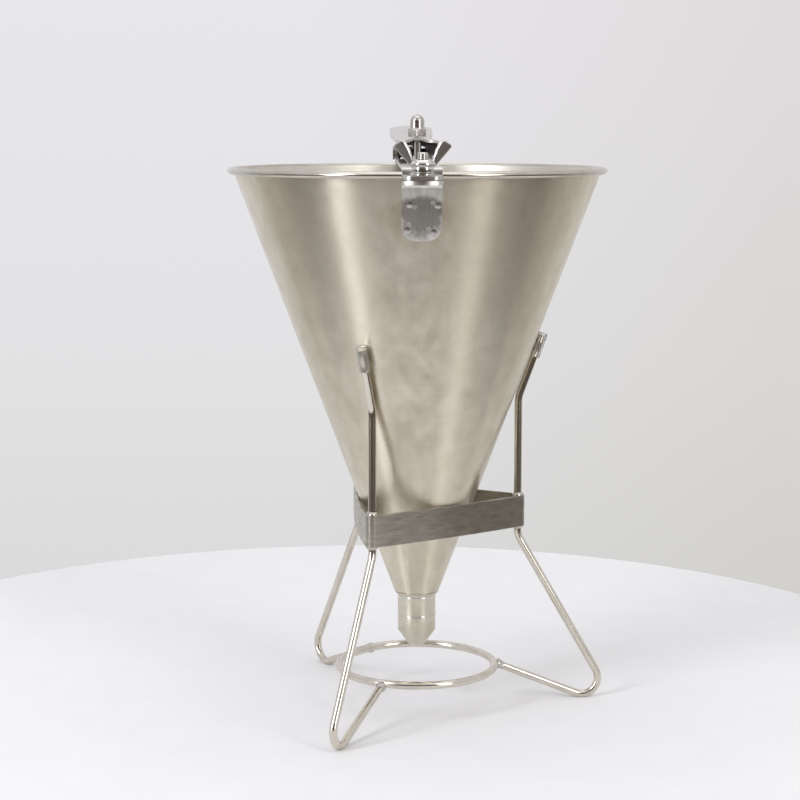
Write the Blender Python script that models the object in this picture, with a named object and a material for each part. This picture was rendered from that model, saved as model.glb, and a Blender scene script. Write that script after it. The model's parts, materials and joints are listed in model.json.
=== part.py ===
# Batter dispenser: a steel funnel with a lever-lifted valve rod, in a wire tripod stand.
# Metres, +Z up. The funnel's axis is vertical, the lever plane is the YZ plane,
# the clamped front of the bridge is at -Y and the handle at +Y.

import math

import bmesh
import bpy
from mathutils import Matrix, Vector

MM = 0.001

# Fits
GAP = 0.3 * MM                    # between neighbours that touch on the real object
TURN_CLEARANCE = 0.35 * MM        # radial play of the rod and pin in their holes
OVERRUN = 2.0 * MM                # how far a cutter runs past the face it cuts

# Funnel
RIM_RADIUS = 95.0 * MM            # outside of the rolled rim
RIM_HEIGHT = 274.4 * MM           # middle of the rolled rim
BEAD_RADIUS = 1.75 * MM           # the rolled rim's own radius
FUNNEL_WALL = 0.85 * MM
NECK_RADIUS = 11.5 * MM           # where the cone meets the outlet collar
NECK_HEIGHT = 59.5 * MM
WALL_IN_BEAD = 0.5 * MM           # how far the cone's outside runs in behind the bead
BEAD_START_TURN = 207.0           # degrees round the bead, where the roll ends
BEAD_END_TURN = 520.0             # degrees round the bead, where the wall's inside begins

# Outlet collar and screwed tip
COLLAR_RADIUS = 9.7 * MM
COLLAR_TAPER = 2.6 * MM           # depth of the taper below the neck
COLLAR_LENGTH = 12.7 * MM
SPIGOT_RADIUS = 7.4 * MM          # threaded spigot that the tip screws on to
SPIGOT_LENGTH = 5.8 * MM
OUTLET_BORE = 6.0 * MM
SEAT_DEPTH = 7.5 * MM             # depth of the conical valve seat below the neck
TIP_LENGTH = 15.8 * MM            # from the collar down to the mouth
TIP_STRAIGHT = 8.0 * MM           # upper stretch of that, before the taper
TIP_END_RADIUS = 4.4 * MM
TIP_MOUTH = 3.0 * MM
TIP_WALL = 1.6 * MM
TIP_LAND = 2.4 * MM               # straight stretch of the mouth

# Stand
WIRE_RADIUS = 2.0 * MM
FOOT_FLAT = 0.4 * MM              # worn flat under each foot
RING_RADIUS = 40.2 * MM
RING_HEIGHT = 19.8 * MM
FOOT_REACH = 95.3 * MM            # outermost point of a leg's centre line
FOOT_BEND = 8.5 * MM
WAIST_RADIUS = 52.2 * MM          # centre line of the upright stretch of a leg
WAIST_HEIGHT = 87.5 * MM
WAIST_BEND = 12.0 * MM
SHOULDER_BEND = 15.0 * MM
LEAN_RISE = 31.7 * MM             # from the shoulder's corner up to the wire's tip
LEG_AZIMUTHS = {"front": -26.0, "right": 94.0, "rear": 214.0}   # degrees from -Y towards +X
BAND_BOTTOM = 92.2 * MM
BAND_TOP = 108.3 * MM
BAND_WALL = 1.2 * MM
SLEEVE_WALL = 0.5 * MM
SLEEVE_LENGTH = 13.0 * MM
SLEEVE_END = 0.9 * MM             # closed end beyond the wire

# Front bracket with its clamp stud
BRACKET_WIDTH = 18.6 * MM
BRACKET_THICKNESS = 1.9 * MM
BRACKET_DROP = 30.2 * MM          # from the rim's middle down to the plate's lower end
BRACKET_BEND = 3.6 * MM
BRACKET_CORNER = 7.0 * MM
STUD_BEYOND_RIM = 9.0 * MM
FLANGE_BEYOND_STUD = 5.0 * MM
FLANGE_CORNER = 2.0 * MM
STUD_RADIUS = 2.5 * MM
STUD_RISE = 9.15 * MM             # from the wing nut's base up to the stud's top
WASHER_RADIUS = 5.2 * MM
WASHER_THICKNESS = 0.8 * MM

# Wing nut
HUB_RADIUS = 5.95 * MM            # widest, at the wings' roots
HUB_BASE_RADIUS = 5.1 * MM
HUB_BELLY = 3.2 * MM              # height of the widest place
HUB_HEIGHT = 6.0 * MM
HUB_TOP_RADIUS = 4.6 * MM
WING_SPAN = 26.8 * MM
WING_THICKNESS = 1.9 * MM
WING_RISE = 14.6 * MM             # from the hub's base to the wings' highest corner
WING_CORNER = 1.0 * MM
WING_TIP_SHARE = 0.83             # height of a wing's outer corner, as a share of its rise
WING_PEAK_SHARE = 0.71            # reach of a wing's highest corner, as a share of half the span
WING_HOLLOW_SHARE = 0.43          # reach of the hollow between the wings, likewise
WING_HOLLOW_RISE_SHARE = 0.70     # height of the hollow's bend, as a share of the rise
WING_HOLLOW_ROUND = 3.0 * MM      # the bend's radius

# Bridge strip
BRIDGE_WIDTH = 18.4 * MM
BRIDGE_THICKNESS = 1.8 * MM
BRIDGE_BEYOND_STUD = 6.5 * MM
BRIDGE_CORNER = 5.0 * MM
JOGGLE_RADIUS = 1.3 * MM
TONGUE_WIDTH = 12.6 * MM
TONGUE_BEFORE_PIN = 12.0 * MM
TONGUE_BEYOND_PIN = 6.0 * MM
TONGUE_CORNER = 3.0 * MM

# Rear clevis, pivot and lever
PIVOT_BEYOND_RIM = 7.0 * MM
PIN_RADIUS = 2.5 * MM
PIN_HEAD_RADIUS = 3.6 * MM
PIN_HEAD = 1.2 * MM
EAR_THICKNESS = 1.2 * MM
EAR_RADIUS = 5.0 * MM
EAR_SPACE = 16.6 * MM             # between the inner faces of the two ears
CLEVIS_BASE = 1.5 * MM
CLEVIS_TAIL = 11.5 * MM           # from the pin's axis to the clevis base's rear end
LEVER_THICKNESS = 1.2 * MM
LEVER_CROWN = 1.5 * MM            # how far the arm's edges lie below its middle
LEVER_FRONT = 10.0 * MM           # front end, in front of the rod
LEVER_WIDTH = 21.3 * MM
LEVER_NECK_WIDTH = 16.0 * MM
THUMB_WIDTH = 24.0 * MM
ARM_RISE = 3.65 * MM              # how much higher the arm is at the rod than at the pin
THUMB_BEYOND_RIM = 64.0 * MM
THUMB_RISE = 9.9 * MM             # how much higher the thumb plate's end is than the arm at the pin
THUMB_LIP = 4.0 * MM
KNEE_BEYOND_PIN = 4.0 * MM        # where the arm turns up into the thumb plate
LEVER_BEND = 16.0 * MM
THUMB_BEND = 2.2 * MM
LEVER_LIP_CORNER = 1.6 * MM
LEVER_CORNER = 6.0 * MM
SLOT_WIDTH = 5.6 * MM
SLOT_LENGTH = 8.4 * MM
CHEEK_LENGTH = 9.6 * MM
CHEEK_DROP = 3.6 * MM             # how far a cheek runs below the pin's axis
SIDE_FRONT = 4.0 * MM             # front end of the folded sides, in front of the rod
SIDE_RAKE = 3.0 * MM              # how far their lower front corner is set back

# Rod, cap nut and valve plug
ROD_RADIUS = 2.1 * MM
CAP_SLACK = 0.45 * MM             # from the lever's arm up to the cap nut
CAP_HEX_RADIUS = 5.2 * MM         # across corners, halved
CAP_HEX_HEIGHT = 4.2 * MM
CAP_DOME_RADIUS = 3.6 * MM
CAP_HEIGHT = 11.1 * MM
CAP_BORE_DEPTH = 6.6 * MM
CAP_TURN = 36.0                   # degrees from +X to the hexagon's first corner
CAP_SIDES = 36
PLUG_RADIUS = 8.4 * MM
PLUG_NOSE = 4.0 * MM
PLUG_RIM = 3.0 * MM
PLUG_TOP_RADIUS = 3.6 * MM
PLUG_TOP = 6.0 * MM               # height of the plug's taper above its rim
PLUG_BORE_DEPTH = 9.0 * MM

# Handle
HANDLE_WIDTH = 24.0 * MM
HANDLE_THICKNESS = 2.0 * MM
HANDLE_BEYOND_RIM = 44.0 * MM
HANDLE_PLATE_DROP = 28.4 * MM     # from the rim's middle down to the upper plate's lower end
HANDLE_UPPER_BEND = 14.0 * MM
HANDLE_LOWER_BEND = 14.0 * MM
HANDLE_DROP = 78.4 * MM           # from the rim's middle down to the grip's lower corner
HANDLE_FOOT_LENGTH = 17.0 * MM
HANDLE_CORNER = 8.0 * MM
HANDLE_RAKE = 15.0 * MM           # how much nearer to the axis the grip's lower corner is
HANDLE_LOWER_DROP = 7.0 * MM      # how much lower the strap meets the cone
HANDLE_FOOT_BEND = 6.0 * MM

# Return spring under the thumb plate
SPRING_BEYOND_PIN = 24.0 * MM
SPRING_RADIUS = 4.0 * MM
SPRING_WIRE = 0.5 * MM
SPRING_TURNS = 6
SPRING_STEPS = 10                 # points in each turn
SPRING_SIDES = 6
POST_RADIUS = 2.4 * MM
POST_HEIGHT = 4.5 * MM

# Facets
ROUND_SIDES = 32
CONE_SIDES = 72
WIRE_SIDES = 10
BEND_STEPS = 6

# Worked out from the sizes above
CONE_SLOPE = (RIM_RADIUS - 2 * BEAD_RADIUS + WALL_IN_BEAD - NECK_RADIUS) / (RIM_HEIGHT - NECK_HEIGHT)
CONE_ANGLE = math.atan(CONE_SLOPE)
WALL_ACROSS = FUNNEL_WALL / math.cos(CONE_ANGLE)
BEAD_CENTRE = RIM_RADIUS - BEAD_RADIUS
COLLAR_SHOULDER = NECK_HEIGHT - COLLAR_TAPER
COLLAR_BOTTOM = NECK_HEIGHT - COLLAR_LENGTH
SPIGOT_BOTTOM = COLLAR_BOTTOM - SPIGOT_LENGTH
SEAT_BOTTOM = NECK_HEIGHT - SEAT_DEPTH
TIP_TAPER_TOP = COLLAR_BOTTOM - TIP_STRAIGHT
TIP_BOTTOM = COLLAR_BOTTOM - TIP_LENGTH
SEAT_SLOPE = (NECK_RADIUS - WALL_ACROSS - OUTLET_BORE) / (NECK_HEIGHT - SEAT_BOTTOM)
LEAN_OFFSET = (WIRE_RADIUS + GAP + SLEEVE_WALL + GAP) / math.cos(CONE_ANGLE)
SHOULDER_HEIGHT = NECK_HEIGHT + (WAIST_RADIUS - LEAN_OFFSET - NECK_RADIUS) / CONE_SLOPE
LEG_TOP = SHOULDER_HEIGHT + LEAN_RISE
FOOT_CENTRE = WIRE_RADIUS - FOOT_FLAT
RIM_TOP = RIM_HEIGHT + BEAD_RADIUS
FLANGE_TOP = RIM_HEIGHT - BEAD_RADIUS - GAP
BRACKET_BOTTOM = RIM_HEIGHT - BRACKET_DROP
STUD_REACH = RIM_RADIUS + STUD_BEYOND_RIM
FLANGE_REACH = STUD_REACH + FLANGE_BEYOND_STUD
BRIDGE_REACH = STUD_REACH + BRIDGE_BEYOND_STUD
BRIDGE_LOW = FLANGE_TOP + GAP + BRIDGE_THICKNESS / 2      # middle plane at the stud
BRIDGE_HIGH = RIM_TOP + GAP + BRIDGE_THICKNESS / 2        # middle plane over the rim
NUT_BASE = BRIDGE_LOW + BRIDGE_THICKNESS / 2 + GAP + WASHER_THICKNESS + GAP
STUD_TOP = NUT_BASE + STUD_RISE
PIVOT_REACH = RIM_RADIUS + PIVOT_BEYOND_RIM
PIVOT_HEIGHT = BRIDGE_HIGH + BRIDGE_THICKNESS / 2 + GAP + TURN_CLEARANCE + PIN_RADIUS
TONGUE_START = PIVOT_REACH - TONGUE_BEFORE_PIN
TONGUE_REACH = PIVOT_REACH + TONGUE_BEYOND_PIN
CLEVIS_FRONT = PIVOT_REACH - EAR_RADIUS
CLEVIS_REAR = PIVOT_REACH + CLEVIS_TAIL
LEVER_AT_PIVOT = PIVOT_HEIGHT + PIN_RADIUS + GAP + LEVER_CROWN + LEVER_THICKNESS / 2
LEVER_AT_ROD = LEVER_AT_PIVOT + ARM_RISE
LEVER_KNEE = PIVOT_REACH + KNEE_BEYOND_PIN
THUMB_REACH = RIM_RADIUS + THUMB_BEYOND_RIM
THUMB_HEIGHT = LEVER_AT_PIVOT + THUMB_RISE
CAP_BASE = LEVER_AT_ROD + LEVER_THICKNESS / 2 + CAP_SLACK
CAP_BORE_TOP = CAP_BASE + CAP_BORE_DEPTH
HANDLE_PLANE = FLANGE_TOP - HANDLE_THICKNESS / 2
HANDLE_REACH = RIM_RADIUS + HANDLE_BEYOND_RIM
HANDLE_LOW_REACH = HANDLE_REACH - HANDLE_RAKE
HANDLE_TOP_PLATE = RIM_HEIGHT - HANDLE_PLATE_DROP
HANDLE_LOW = RIM_HEIGHT - HANDLE_DROP
HANDLE_FOOT = HANDLE_LOW - HANDLE_LOWER_DROP - HANDLE_FOOT_LENGTH
SPRING_REACH = PIVOT_REACH + SPRING_BEYOND_PIN
LEFT_REACH = -RIM_RADIUS
RIGHT_REACH = (FOOT_REACH + WIRE_RADIUS) * math.sin(math.radians(LEG_AZIMUTHS["right"]))
REAR_REACH = THUMB_REACH + LEVER_THICKNESS / 2
ORIGIN = Vector(((LEFT_REACH + RIGHT_REACH) / 2, (REAR_REACH - BRIDGE_REACH) / 2, 0))


def cone_radius(height):
    """Outside radius of the cone at a height."""
    return NECK_RADIUS + CONE_SLOPE * (height - NECK_HEIGHT)


# Scene, materials and objects

def clear_scene():
    for item in list(bpy.data.objects):
        bpy.data.objects.remove(item, do_unlink=True)


def metal(name, color, roughness, metallic=1.0):
    """A Principled material of its own for one piece."""
    material = bpy.data.materials.new(name)
    material.use_nodes = True
    shader = material.node_tree.nodes["Principled BSDF"]
    shader.inputs["Base Color"].default_value = (*color, 1)
    shader.inputs["Roughness"].default_value = roughness
    shader.inputs["Metallic"].default_value = metallic
    return material


CHROME = ((0.62, 0.60, 0.57), 0.18)
SATIN = ((0.55, 0.53, 0.49), 0.32)
DULL = ((0.42, 0.40, 0.38), 0.42)
CLEAR = ((0.86, 0.86, 0.84), 0.35, 0.0)


def frame_empty(name, place, parent=None):
    """An empty on a joint's axis; place is in the funnel's own frame."""
    empty = bpy.data.objects.new(name, None)
    bpy.context.collection.objects.link(empty)
    place = Vector(place)
    empty["place"] = list(place)
    if parent:
        empty.parent = parent
        empty.location = place - Vector(parent["place"])
    else:
        empty.location = place - ORIGIN
    return empty


def add_piece(name, mesh_builder, parent, finish=None):
    """Makes the object of a bmesh drawn in the funnel's frame, local to its parent empty."""
    bmesh.ops.recalc_face_normals(mesh_builder, faces=mesh_builder.faces)
    bmesh.ops.translate(mesh_builder, verts=mesh_builder.verts, vec=-Vector(parent["place"]))
    mesh = bpy.data.meshes.new(name)
    mesh_builder.to_mesh(mesh)
    mesh_builder.free()
    mesh.shade_smooth()
    mesh.set_sharp_from_angle(angle=math.radians(35))
    piece = bpy.data.objects.new(name, mesh)
    bpy.context.collection.objects.link(piece)
    piece.parent = parent
    if finish:
        piece.data.materials.append(metal(name, *finish))
    return piece


def boolean(piece, tool, operation):
    """Adds a Boolean whose operand is hidden from the build."""
    tool.hide_render = True
    tool.display_type = "WIRE"
    modifier = piece.modifiers.new(operation.title(), "BOOLEAN")
    modifier.operation = operation
    modifier.object = tool
    modifier.solver = "EXACT"


# Outlines and solids

def arc_points(centre, radius, start, end, steps):
    """Points of an arc between two angles, in radians, in a plane of two coordinates."""
    angles = [start + (end - start) * step / steps for step in range(steps + 1)]
    return [(centre[0] + radius * math.cos(a), centre[1] + radius * math.sin(a)) for a in angles]


def rounded_route(corners, radii, steps=BEND_STEPS):
    """A polyline through corners, each inner corner rounded to its radius."""
    points = [Vector(corners[0])]
    for before, corner, after, radius in zip(corners, corners[1:], corners[2:], radii):
        corner = Vector(corner)
        back = (Vector(before) - corner).normalized()
        ahead = (Vector(after) - corner).normalized()
        half = back.angle(ahead) / 2
        tangent = radius / math.tan(half)
        start = corner + back * tangent
        end = corner + ahead * tangent
        centre = corner + (back + ahead).normalized() * radius / math.sin(half)
        for step in range(steps + 1):
            share = step / steps
            sweep = math.pi - 2 * half
            weight_start = math.sin((1 - share) * sweep) / math.sin(sweep)
            weight_end = math.sin(share * sweep) / math.sin(sweep)
            points.append(centre + (start - centre) * weight_start + (end - centre) * weight_end)
    points.append(Vector(corners[-1]))
    return points


def flat_share(turn, flats):
    """Reach of a regular polygon's edge at an angle, as a share of its corner radius."""
    half = math.pi / flats
    return math.cos(half) / math.cos(turn % (2 * half) - half)


def turned(profile, sides=ROUND_SIDES, closed=False, matrix=None, phase=0.0):
    """Turns a profile of (radius, height) points about Z; closed joins its last point to its first.

    A third value in a point gives that ring so many flats, with the radius at their corners.
    """
    solid = bmesh.new()
    rings = []
    for radius, height, *flats in profile:
        if radius == 0:
            rings.append([solid.verts.new((0, 0, height))])
            continue
        ring = []
        for side in range(sides):
            turn = math.tau * side / sides
            reach = radius * flat_share(turn, flats[0]) if flats else radius
            angle = phase + turn
            ring.append(solid.verts.new((reach * math.cos(angle), reach * math.sin(angle), height)))
        rings.append(ring)
    pairs = list(zip(rings, rings[1:]))
    if closed:
        pairs.append((rings[-1], rings[0]))
    for lower, upper in pairs:
        if len(lower) == len(upper) == 1:
            continue
        for side in range(sides):
            ahead = (side + 1) % sides
            if len(lower) == 1:
                solid.faces.new((lower[0], upper[side], upper[ahead]))
            elif len(upper) == 1:
                solid.faces.new((lower[side], lower[ahead], upper[0]))
            else:
                solid.faces.new((lower[side], lower[ahead], upper[ahead], upper[side]))
    if matrix:
        solid.transform(matrix)
    return solid


def standing_at(x, y):
    """Matrix that moves a turned solid's axis to a place in plan."""
    return Matrix.Translation((x, y, 0))


def tube(points, radius, sides=WIRE_SIDES):
    """A round wire along 3D points, with flat ends and sections square to the route."""
    solid = bmesh.new()
    points = [Vector(point) for point in points]
    tangents = []
    for index, point in enumerate(points):
        before = points[max(index - 1, 0)]
        after = points[min(index + 1, len(points) - 1)]
        incoming = (point - before).normalized() if index else (after - point).normalized()
        outgoing = (after - point).normalized() if after != point else incoming
        tangents.append((incoming + outgoing).normalized())
    side_way = tangents[0].orthogonal().normalized()
    rings = []
    for point, tangent in zip(points, tangents):
        side_way = (side_way - tangent * side_way.dot(tangent)).normalized()
        up_way = tangent.cross(side_way)
        ring = []
        for side in range(sides):
            angle = math.tau * side / sides
            spoke = side_way * math.cos(angle) + up_way * math.sin(angle)
            ring.append(solid.verts.new(point + spoke * radius))
        rings.append(ring)
    for lower, upper in zip(rings, rings[1:]):
        for side in range(sides):
            ahead = (side + 1) % sides
            solid.faces.new((lower[side], lower[ahead], upper[ahead], upper[side]))
    solid.faces.new(rings[0][::-1])
    solid.faces.new(rings[-1])
    return solid


def prism(outline, low, high, matrix=None):
    """Extrudes a closed outline of (x, y) points from one height to another."""
    solid = bmesh.new()
    bottom = [solid.verts.new((x, y, low)) for x, y in outline]
    top = [solid.verts.new((x, y, high)) for x, y in outline]
    solid.faces.new(bottom[::-1])
    solid.faces.new(top)
    for index in range(len(outline)):
        ahead = (index + 1) % len(outline)
        solid.faces.new((bottom[index], bottom[ahead], top[ahead], top[index]))
    if matrix:
        solid.transform(matrix)
    return solid


def rounded_outline(corners, radii, steps=BEND_STEPS):
    """A closed outline with every corner rounded to its radius."""
    count = len(corners)
    points = []
    for index in range(count):
        trio = [corners[index - 1], corners[index], corners[(index + 1) % count]]
        points += [tuple(point) for point in rounded_route(trio, [radii[index]], steps)[1:-1]]
    return points


def widths_with_ends(spans, start_corner, end_corner, steps=BEND_STEPS):
    """Half widths along a strip, (distance, half width), with rounded corners at both ends."""
    length = spans[-1][0]
    table = []
    for step in range(steps + 1):
        turn = math.pi / 2 * step / steps
        half = spans[0][1] - start_corner * (1 - math.sin(turn))
        table.append((start_corner * (1 - math.cos(turn)), half))
    table += [span for span in spans if start_corner < span[0] < length - end_corner]
    for step in range(steps + 1):
        turn = math.pi / 2 * (1 - step / steps)
        half = spans[-1][1] - end_corner * (1 - math.sin(turn))
        table.append((length - end_corner * (1 - math.cos(turn)), half))
    return table


def route_length(route):
    return sum((Vector(b) - Vector(a)).length for a, b in zip(route, route[1:]))


def bent_strip(route, widths, thickness, crown=0.0):
    """A strip bent along a route of (y, z) points, as wide as the table of half widths says."""
    route = [Vector(point) for point in route]
    distances = [0.0]
    for before, after in zip(route, route[1:]):
        distances.append(distances[-1] + (after - before).length)
    tangents = [(after - before).normalized() for before, after in zip(route, route[1:])]
    tolerance = thickness / 100
    stations = list(distances)
    for distance, _ in widths:
        if min(abs(distance - station) for station in stations) > tolerance:
            stations.append(distance)
    stations.sort()
    columns = (-1, -0.5, 0, 0.5, 1) if crown else (-1, 1)
    solid = bmesh.new()
    rings = []
    for station in stations:
        leg = max(i for i in range(len(tangents)) if i == 0 or distances[i] <= station + tolerance)
        at_corner = leg > 0 and abs(distances[leg] - station) <= tolerance
        along = station - distances[leg]
        middle = route[leg] + tangents[leg] * along
        tangent = (tangents[leg - 1] + tangents[leg]).normalized() if at_corner else tangents[leg]
        normal = Vector((-tangent.y, tangent.x))
        spread = 1 / max(normal.dot(Vector((-tangents[leg].y, tangents[leg].x))), 0.5)
        half = half_width_at(widths, station)
        ring = []
        for side, order in ((1, columns), (-1, columns[::-1])):
            for column in order:
                lift = side * thickness / 2 * spread - crown * column * column
                place = middle + normal * lift
                ring.append(solid.verts.new((column * half, place.x, place.y)))
        rings.append(ring)
    count = len(rings[0])
    for lower, upper in zip(rings, rings[1:]):
        for index in range(count):
            ahead = (index + 1) % count
            solid.faces.new((lower[index], lower[ahead], upper[ahead], upper[index]))
    for ring in (rings[0], rings[-1]):
        for index in range(len(columns) - 1):
            solid.faces.new((ring[index], ring[index + 1], ring[-index - 2], ring[-index - 1]))
    return solid


def half_width_at(widths, station):
    """Half width read from the table at a distance along the strip."""
    if station <= widths[0][0]:
        return widths[0][1]
    for (start, first), (end, second) in zip(widths, widths[1:]):
        if station <= end:
            share = (station - start) / max(end - start, 1e-9)
            return first + (second - first) * share
    return widths[-1][1]


def drill(piece, parent, x, y, radius, low, high, sides=ROUND_SIDES):
    """Cuts an upright round hole."""
    cutter = turned([(0, low), (radius, low), (radius, high), (0, high)], sides, matrix=standing_at(x, y))
    boolean(piece, add_piece(piece.name + "_drill", cutter, parent), "DIFFERENCE")


# Stand

def leg_points():
    """Centre line of a leg in (radius, height), from its butt on the ring up to its tip."""
    bend_centre = Vector((FOOT_REACH - FOOT_BEND, FOOT_CENTRE + FOOT_BEND))
    ring = Vector((RING_RADIUS, RING_HEIGHT))
    waist = Vector((WAIST_RADIUS, WAIST_HEIGHT))
    inward = bend_centre - ring
    inner_angle = math.atan2(inward.y, inward.x) - math.asin(FOOT_BEND / inward.length)
    upward = waist - bend_centre
    outer_angle = math.atan2(upward.y, upward.x) + math.asin(FOOT_BEND / upward.length)
    butt = ring + Vector((math.cos(inner_angle), math.sin(inner_angle))) * (WIRE_RADIUS + GAP)
    start = inner_angle - math.pi / 2
    end = outer_angle - math.pi / 2
    foot = arc_points(bend_centre, FOOT_BEND, start, end, 2 * BEND_STEPS)
    corners = [foot[-1], waist, (WAIST_RADIUS, SHOULDER_HEIGHT), leg_tip()]
    upper = rounded_route(corners, (WAIST_BEND, SHOULDER_BEND), BEND_STEPS // 2)
    return [tuple(butt)] + foot + [tuple(point) for point in upper[1:]]


def leg_tip():
    return cone_radius(LEG_TOP) + LEAN_OFFSET, LEG_TOP


def outward(azimuth):
    """Unit vector in plan at an azimuth in degrees, from -Y towards +X."""
    angle = math.radians(azimuth)
    return Vector((math.sin(angle), -math.cos(angle), 0))


def make_leg(side, azimuth, parent):
    way = outward(azimuth)
    points = [way * radius + Vector((0, 0, height)) for radius, height in leg_points()]
    leg = add_piece(f"leg_wire_{side}", tube(points, WIRE_RADIUS), parent, CHROME)
    edge = FOOT_REACH + WIRE_RADIUS + OVERRUN
    floor = [(-edge, -edge), (edge, -edge), (edge, edge), (-edge, edge)]
    boolean(leg, add_piece(f"foot_flat_{side}", prism(floor, -FOOT_FLAT - OVERRUN, 0), parent), "DIFFERENCE")


def make_sleeve(side, azimuth, parent):
    """Soft sleeve over a leg's tip, closed at its end, lying against the cone."""
    inside = WIRE_RADIUS + GAP
    outside = inside + SLEEVE_WALL
    top = GAP + SLEEVE_END
    profile = [
        (inside, top - SLEEVE_LENGTH), (outside, top - SLEEVE_LENGTH),
        (outside, top - SLEEVE_END), (outside - SLEEVE_END, top), (0, top), (0, GAP), (inside, GAP),
    ]
    radius, height = leg_tip()
    way = outward(azimuth)
    lean = way * math.sin(CONE_ANGLE) + Vector((0, 0, math.cos(CONE_ANGLE)))
    place = Matrix.Translation(way * radius + Vector((0, 0, height)))
    turn = Vector((0, 0, 1)).rotation_difference(lean).to_matrix().to_4x4()
    solid = turned(profile, sides=ROUND_SIDES // 2, closed=True, matrix=place @ turn)
    add_piece(f"tip_sleeve_{side}", solid, parent, CLEAR)


def make_ring(parent):
    section = arc_points((RING_RADIUS, RING_HEIGHT), WIRE_RADIUS, 0, math.tau, WIRE_SIDES)[:-1]
    add_piece("base_ring", turned(section, sides=CONE_SIDES, closed=True), parent, CHROME)


def band_outline(corner, middle):
    """Plan of the band's face: corners round the wires, sides bowed out to a middle distance."""
    across = WAIST_RADIUS * math.sin(math.radians(60))
    depth = WAIST_RADIUS * math.cos(math.radians(60))
    bow = middle - depth - corner
    tilt = math.atan(2 * bow / across)
    reach = across + corner * math.sin(tilt)
    edge = depth + corner * math.cos(tilt)
    points = []
    for azimuth in LEG_AZIMUTHS.values():
        normal = outward(azimuth + 60)
        along = Vector((-normal.y, normal.x, 0))
        for step in range(2 * BEND_STEPS):
            share = 2 * step / (2 * BEND_STEPS) - 1
            point = normal * (middle + (edge - middle) * share * share) + along * reach * share
            points.append((point.x, point.y))
        wire = outward(azimuth + 120) * WAIST_RADIUS
        for step in range(BEND_STEPS):
            turn = tilt + (math.radians(120) - 2 * tilt) * step / BEND_STEPS
            point = wire + (normal * math.cos(turn) + along * math.sin(turn)) * corner
            points.append((point.x, point.y))
    return points


def make_band(parent):
    """Triangular band: a strip wrapped round the three uprights, with the cone seated in it."""
    corner = WIRE_RADIUS + GAP
    middle = cone_radius(BAND_TOP) + GAP
    inner = band_outline(corner, middle)
    outer = band_outline(corner + BAND_WALL, middle + BAND_WALL)
    solid = bmesh.new()
    loops = []
    for outline, height in ((outer, BAND_BOTTOM), (outer, BAND_TOP), (inner, BAND_TOP), (inner, BAND_BOTTOM)):
        loops.append([solid.verts.new((x, y, height)) for x, y in outline])
    for near, far in zip(loops, loops[1:] + loops[:1]):
        for index in range(len(near)):
            ahead = (index + 1) % len(near)
            solid.faces.new((near[index], near[ahead], far[ahead], far[index]))
    add_piece("stand_band", solid, parent, DULL)


def make_stand(parent):
    make_band(parent)
    make_ring(parent)
    for side, azimuth in LEG_AZIMUTHS.items():
        make_leg(side, azimuth, parent)
        make_sleeve(side, azimuth, parent)


# Funnel

def make_cone(parent):
    """Conical sheet with a rim rolled outwards into a bead."""
    start = math.radians(BEAD_START_TURN)
    end = math.radians(BEAD_END_TURN)
    bead = arc_points((BEAD_CENTRE, RIM_HEIGHT), BEAD_RADIUS, start, end, 2 * BEND_STEPS)
    inner_top = (cone_radius(bead[-1][1]) - WALL_ACROSS, bead[-1][1])
    inner_bottom = (NECK_RADIUS - WALL_ACROSS, NECK_HEIGHT)
    profile = [(NECK_RADIUS, NECK_HEIGHT)] + bead + [inner_top, inner_bottom]
    add_piece("funnel_cone", turned(profile, CONE_SIDES, closed=True), parent, SATIN)


def make_collar(parent):
    """Outlet collar under the cone: conical valve seat, bore and a spigot for the tip."""
    profile = [
        (NECK_RADIUS, NECK_HEIGHT - GAP), (COLLAR_RADIUS, COLLAR_SHOULDER), (COLLAR_RADIUS, COLLAR_BOTTOM),
        (SPIGOT_RADIUS, COLLAR_BOTTOM), (SPIGOT_RADIUS, SPIGOT_BOTTOM), (OUTLET_BORE, SPIGOT_BOTTOM),
        (OUTLET_BORE, SEAT_BOTTOM), (seat_radius(NECK_HEIGHT - GAP), NECK_HEIGHT - GAP),
    ]
    add_piece("outlet_collar", turned(profile, closed=True), parent, SATIN)


def seat_radius(height):
    return OUTLET_BORE + SEAT_SLOPE * (height - SEAT_BOTTOM)


def make_tip(parent):
    """Tip screwed over the spigot, tapering to the pouring mouth."""
    inside = SPIGOT_RADIUS + GAP
    ledge = SPIGOT_BOTTOM - GAP
    funnel_top = max(ledge - TIP_WALL, TIP_BOTTOM + TIP_LAND + TIP_WALL)
    profile = [
        (COLLAR_RADIUS, COLLAR_BOTTOM - GAP), (COLLAR_RADIUS, TIP_TAPER_TOP), (TIP_END_RADIUS, TIP_BOTTOM),
        (TIP_MOUTH, TIP_BOTTOM), (TIP_MOUTH, TIP_BOTTOM + TIP_LAND), (OUTLET_BORE, funnel_top),
        (OUTLET_BORE, ledge), (inside, ledge), (inside, COLLAR_BOTTOM - GAP),
    ]
    add_piece("nozzle_tip", turned(profile, closed=True), parent, SATIN)


# Brackets and bridge

def plate_line(height, thickness):
    """Point of a plate's middle plane lying along the cone's outside, in (radius, height)."""
    return cone_radius(height) + (GAP + thickness / 2) / math.cos(CONE_ANGLE), height


def front(points):
    """Points of (radius, height) placed on the clamp's side, as (y, z)."""
    return [(-radius, height) for radius, height in points]


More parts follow.
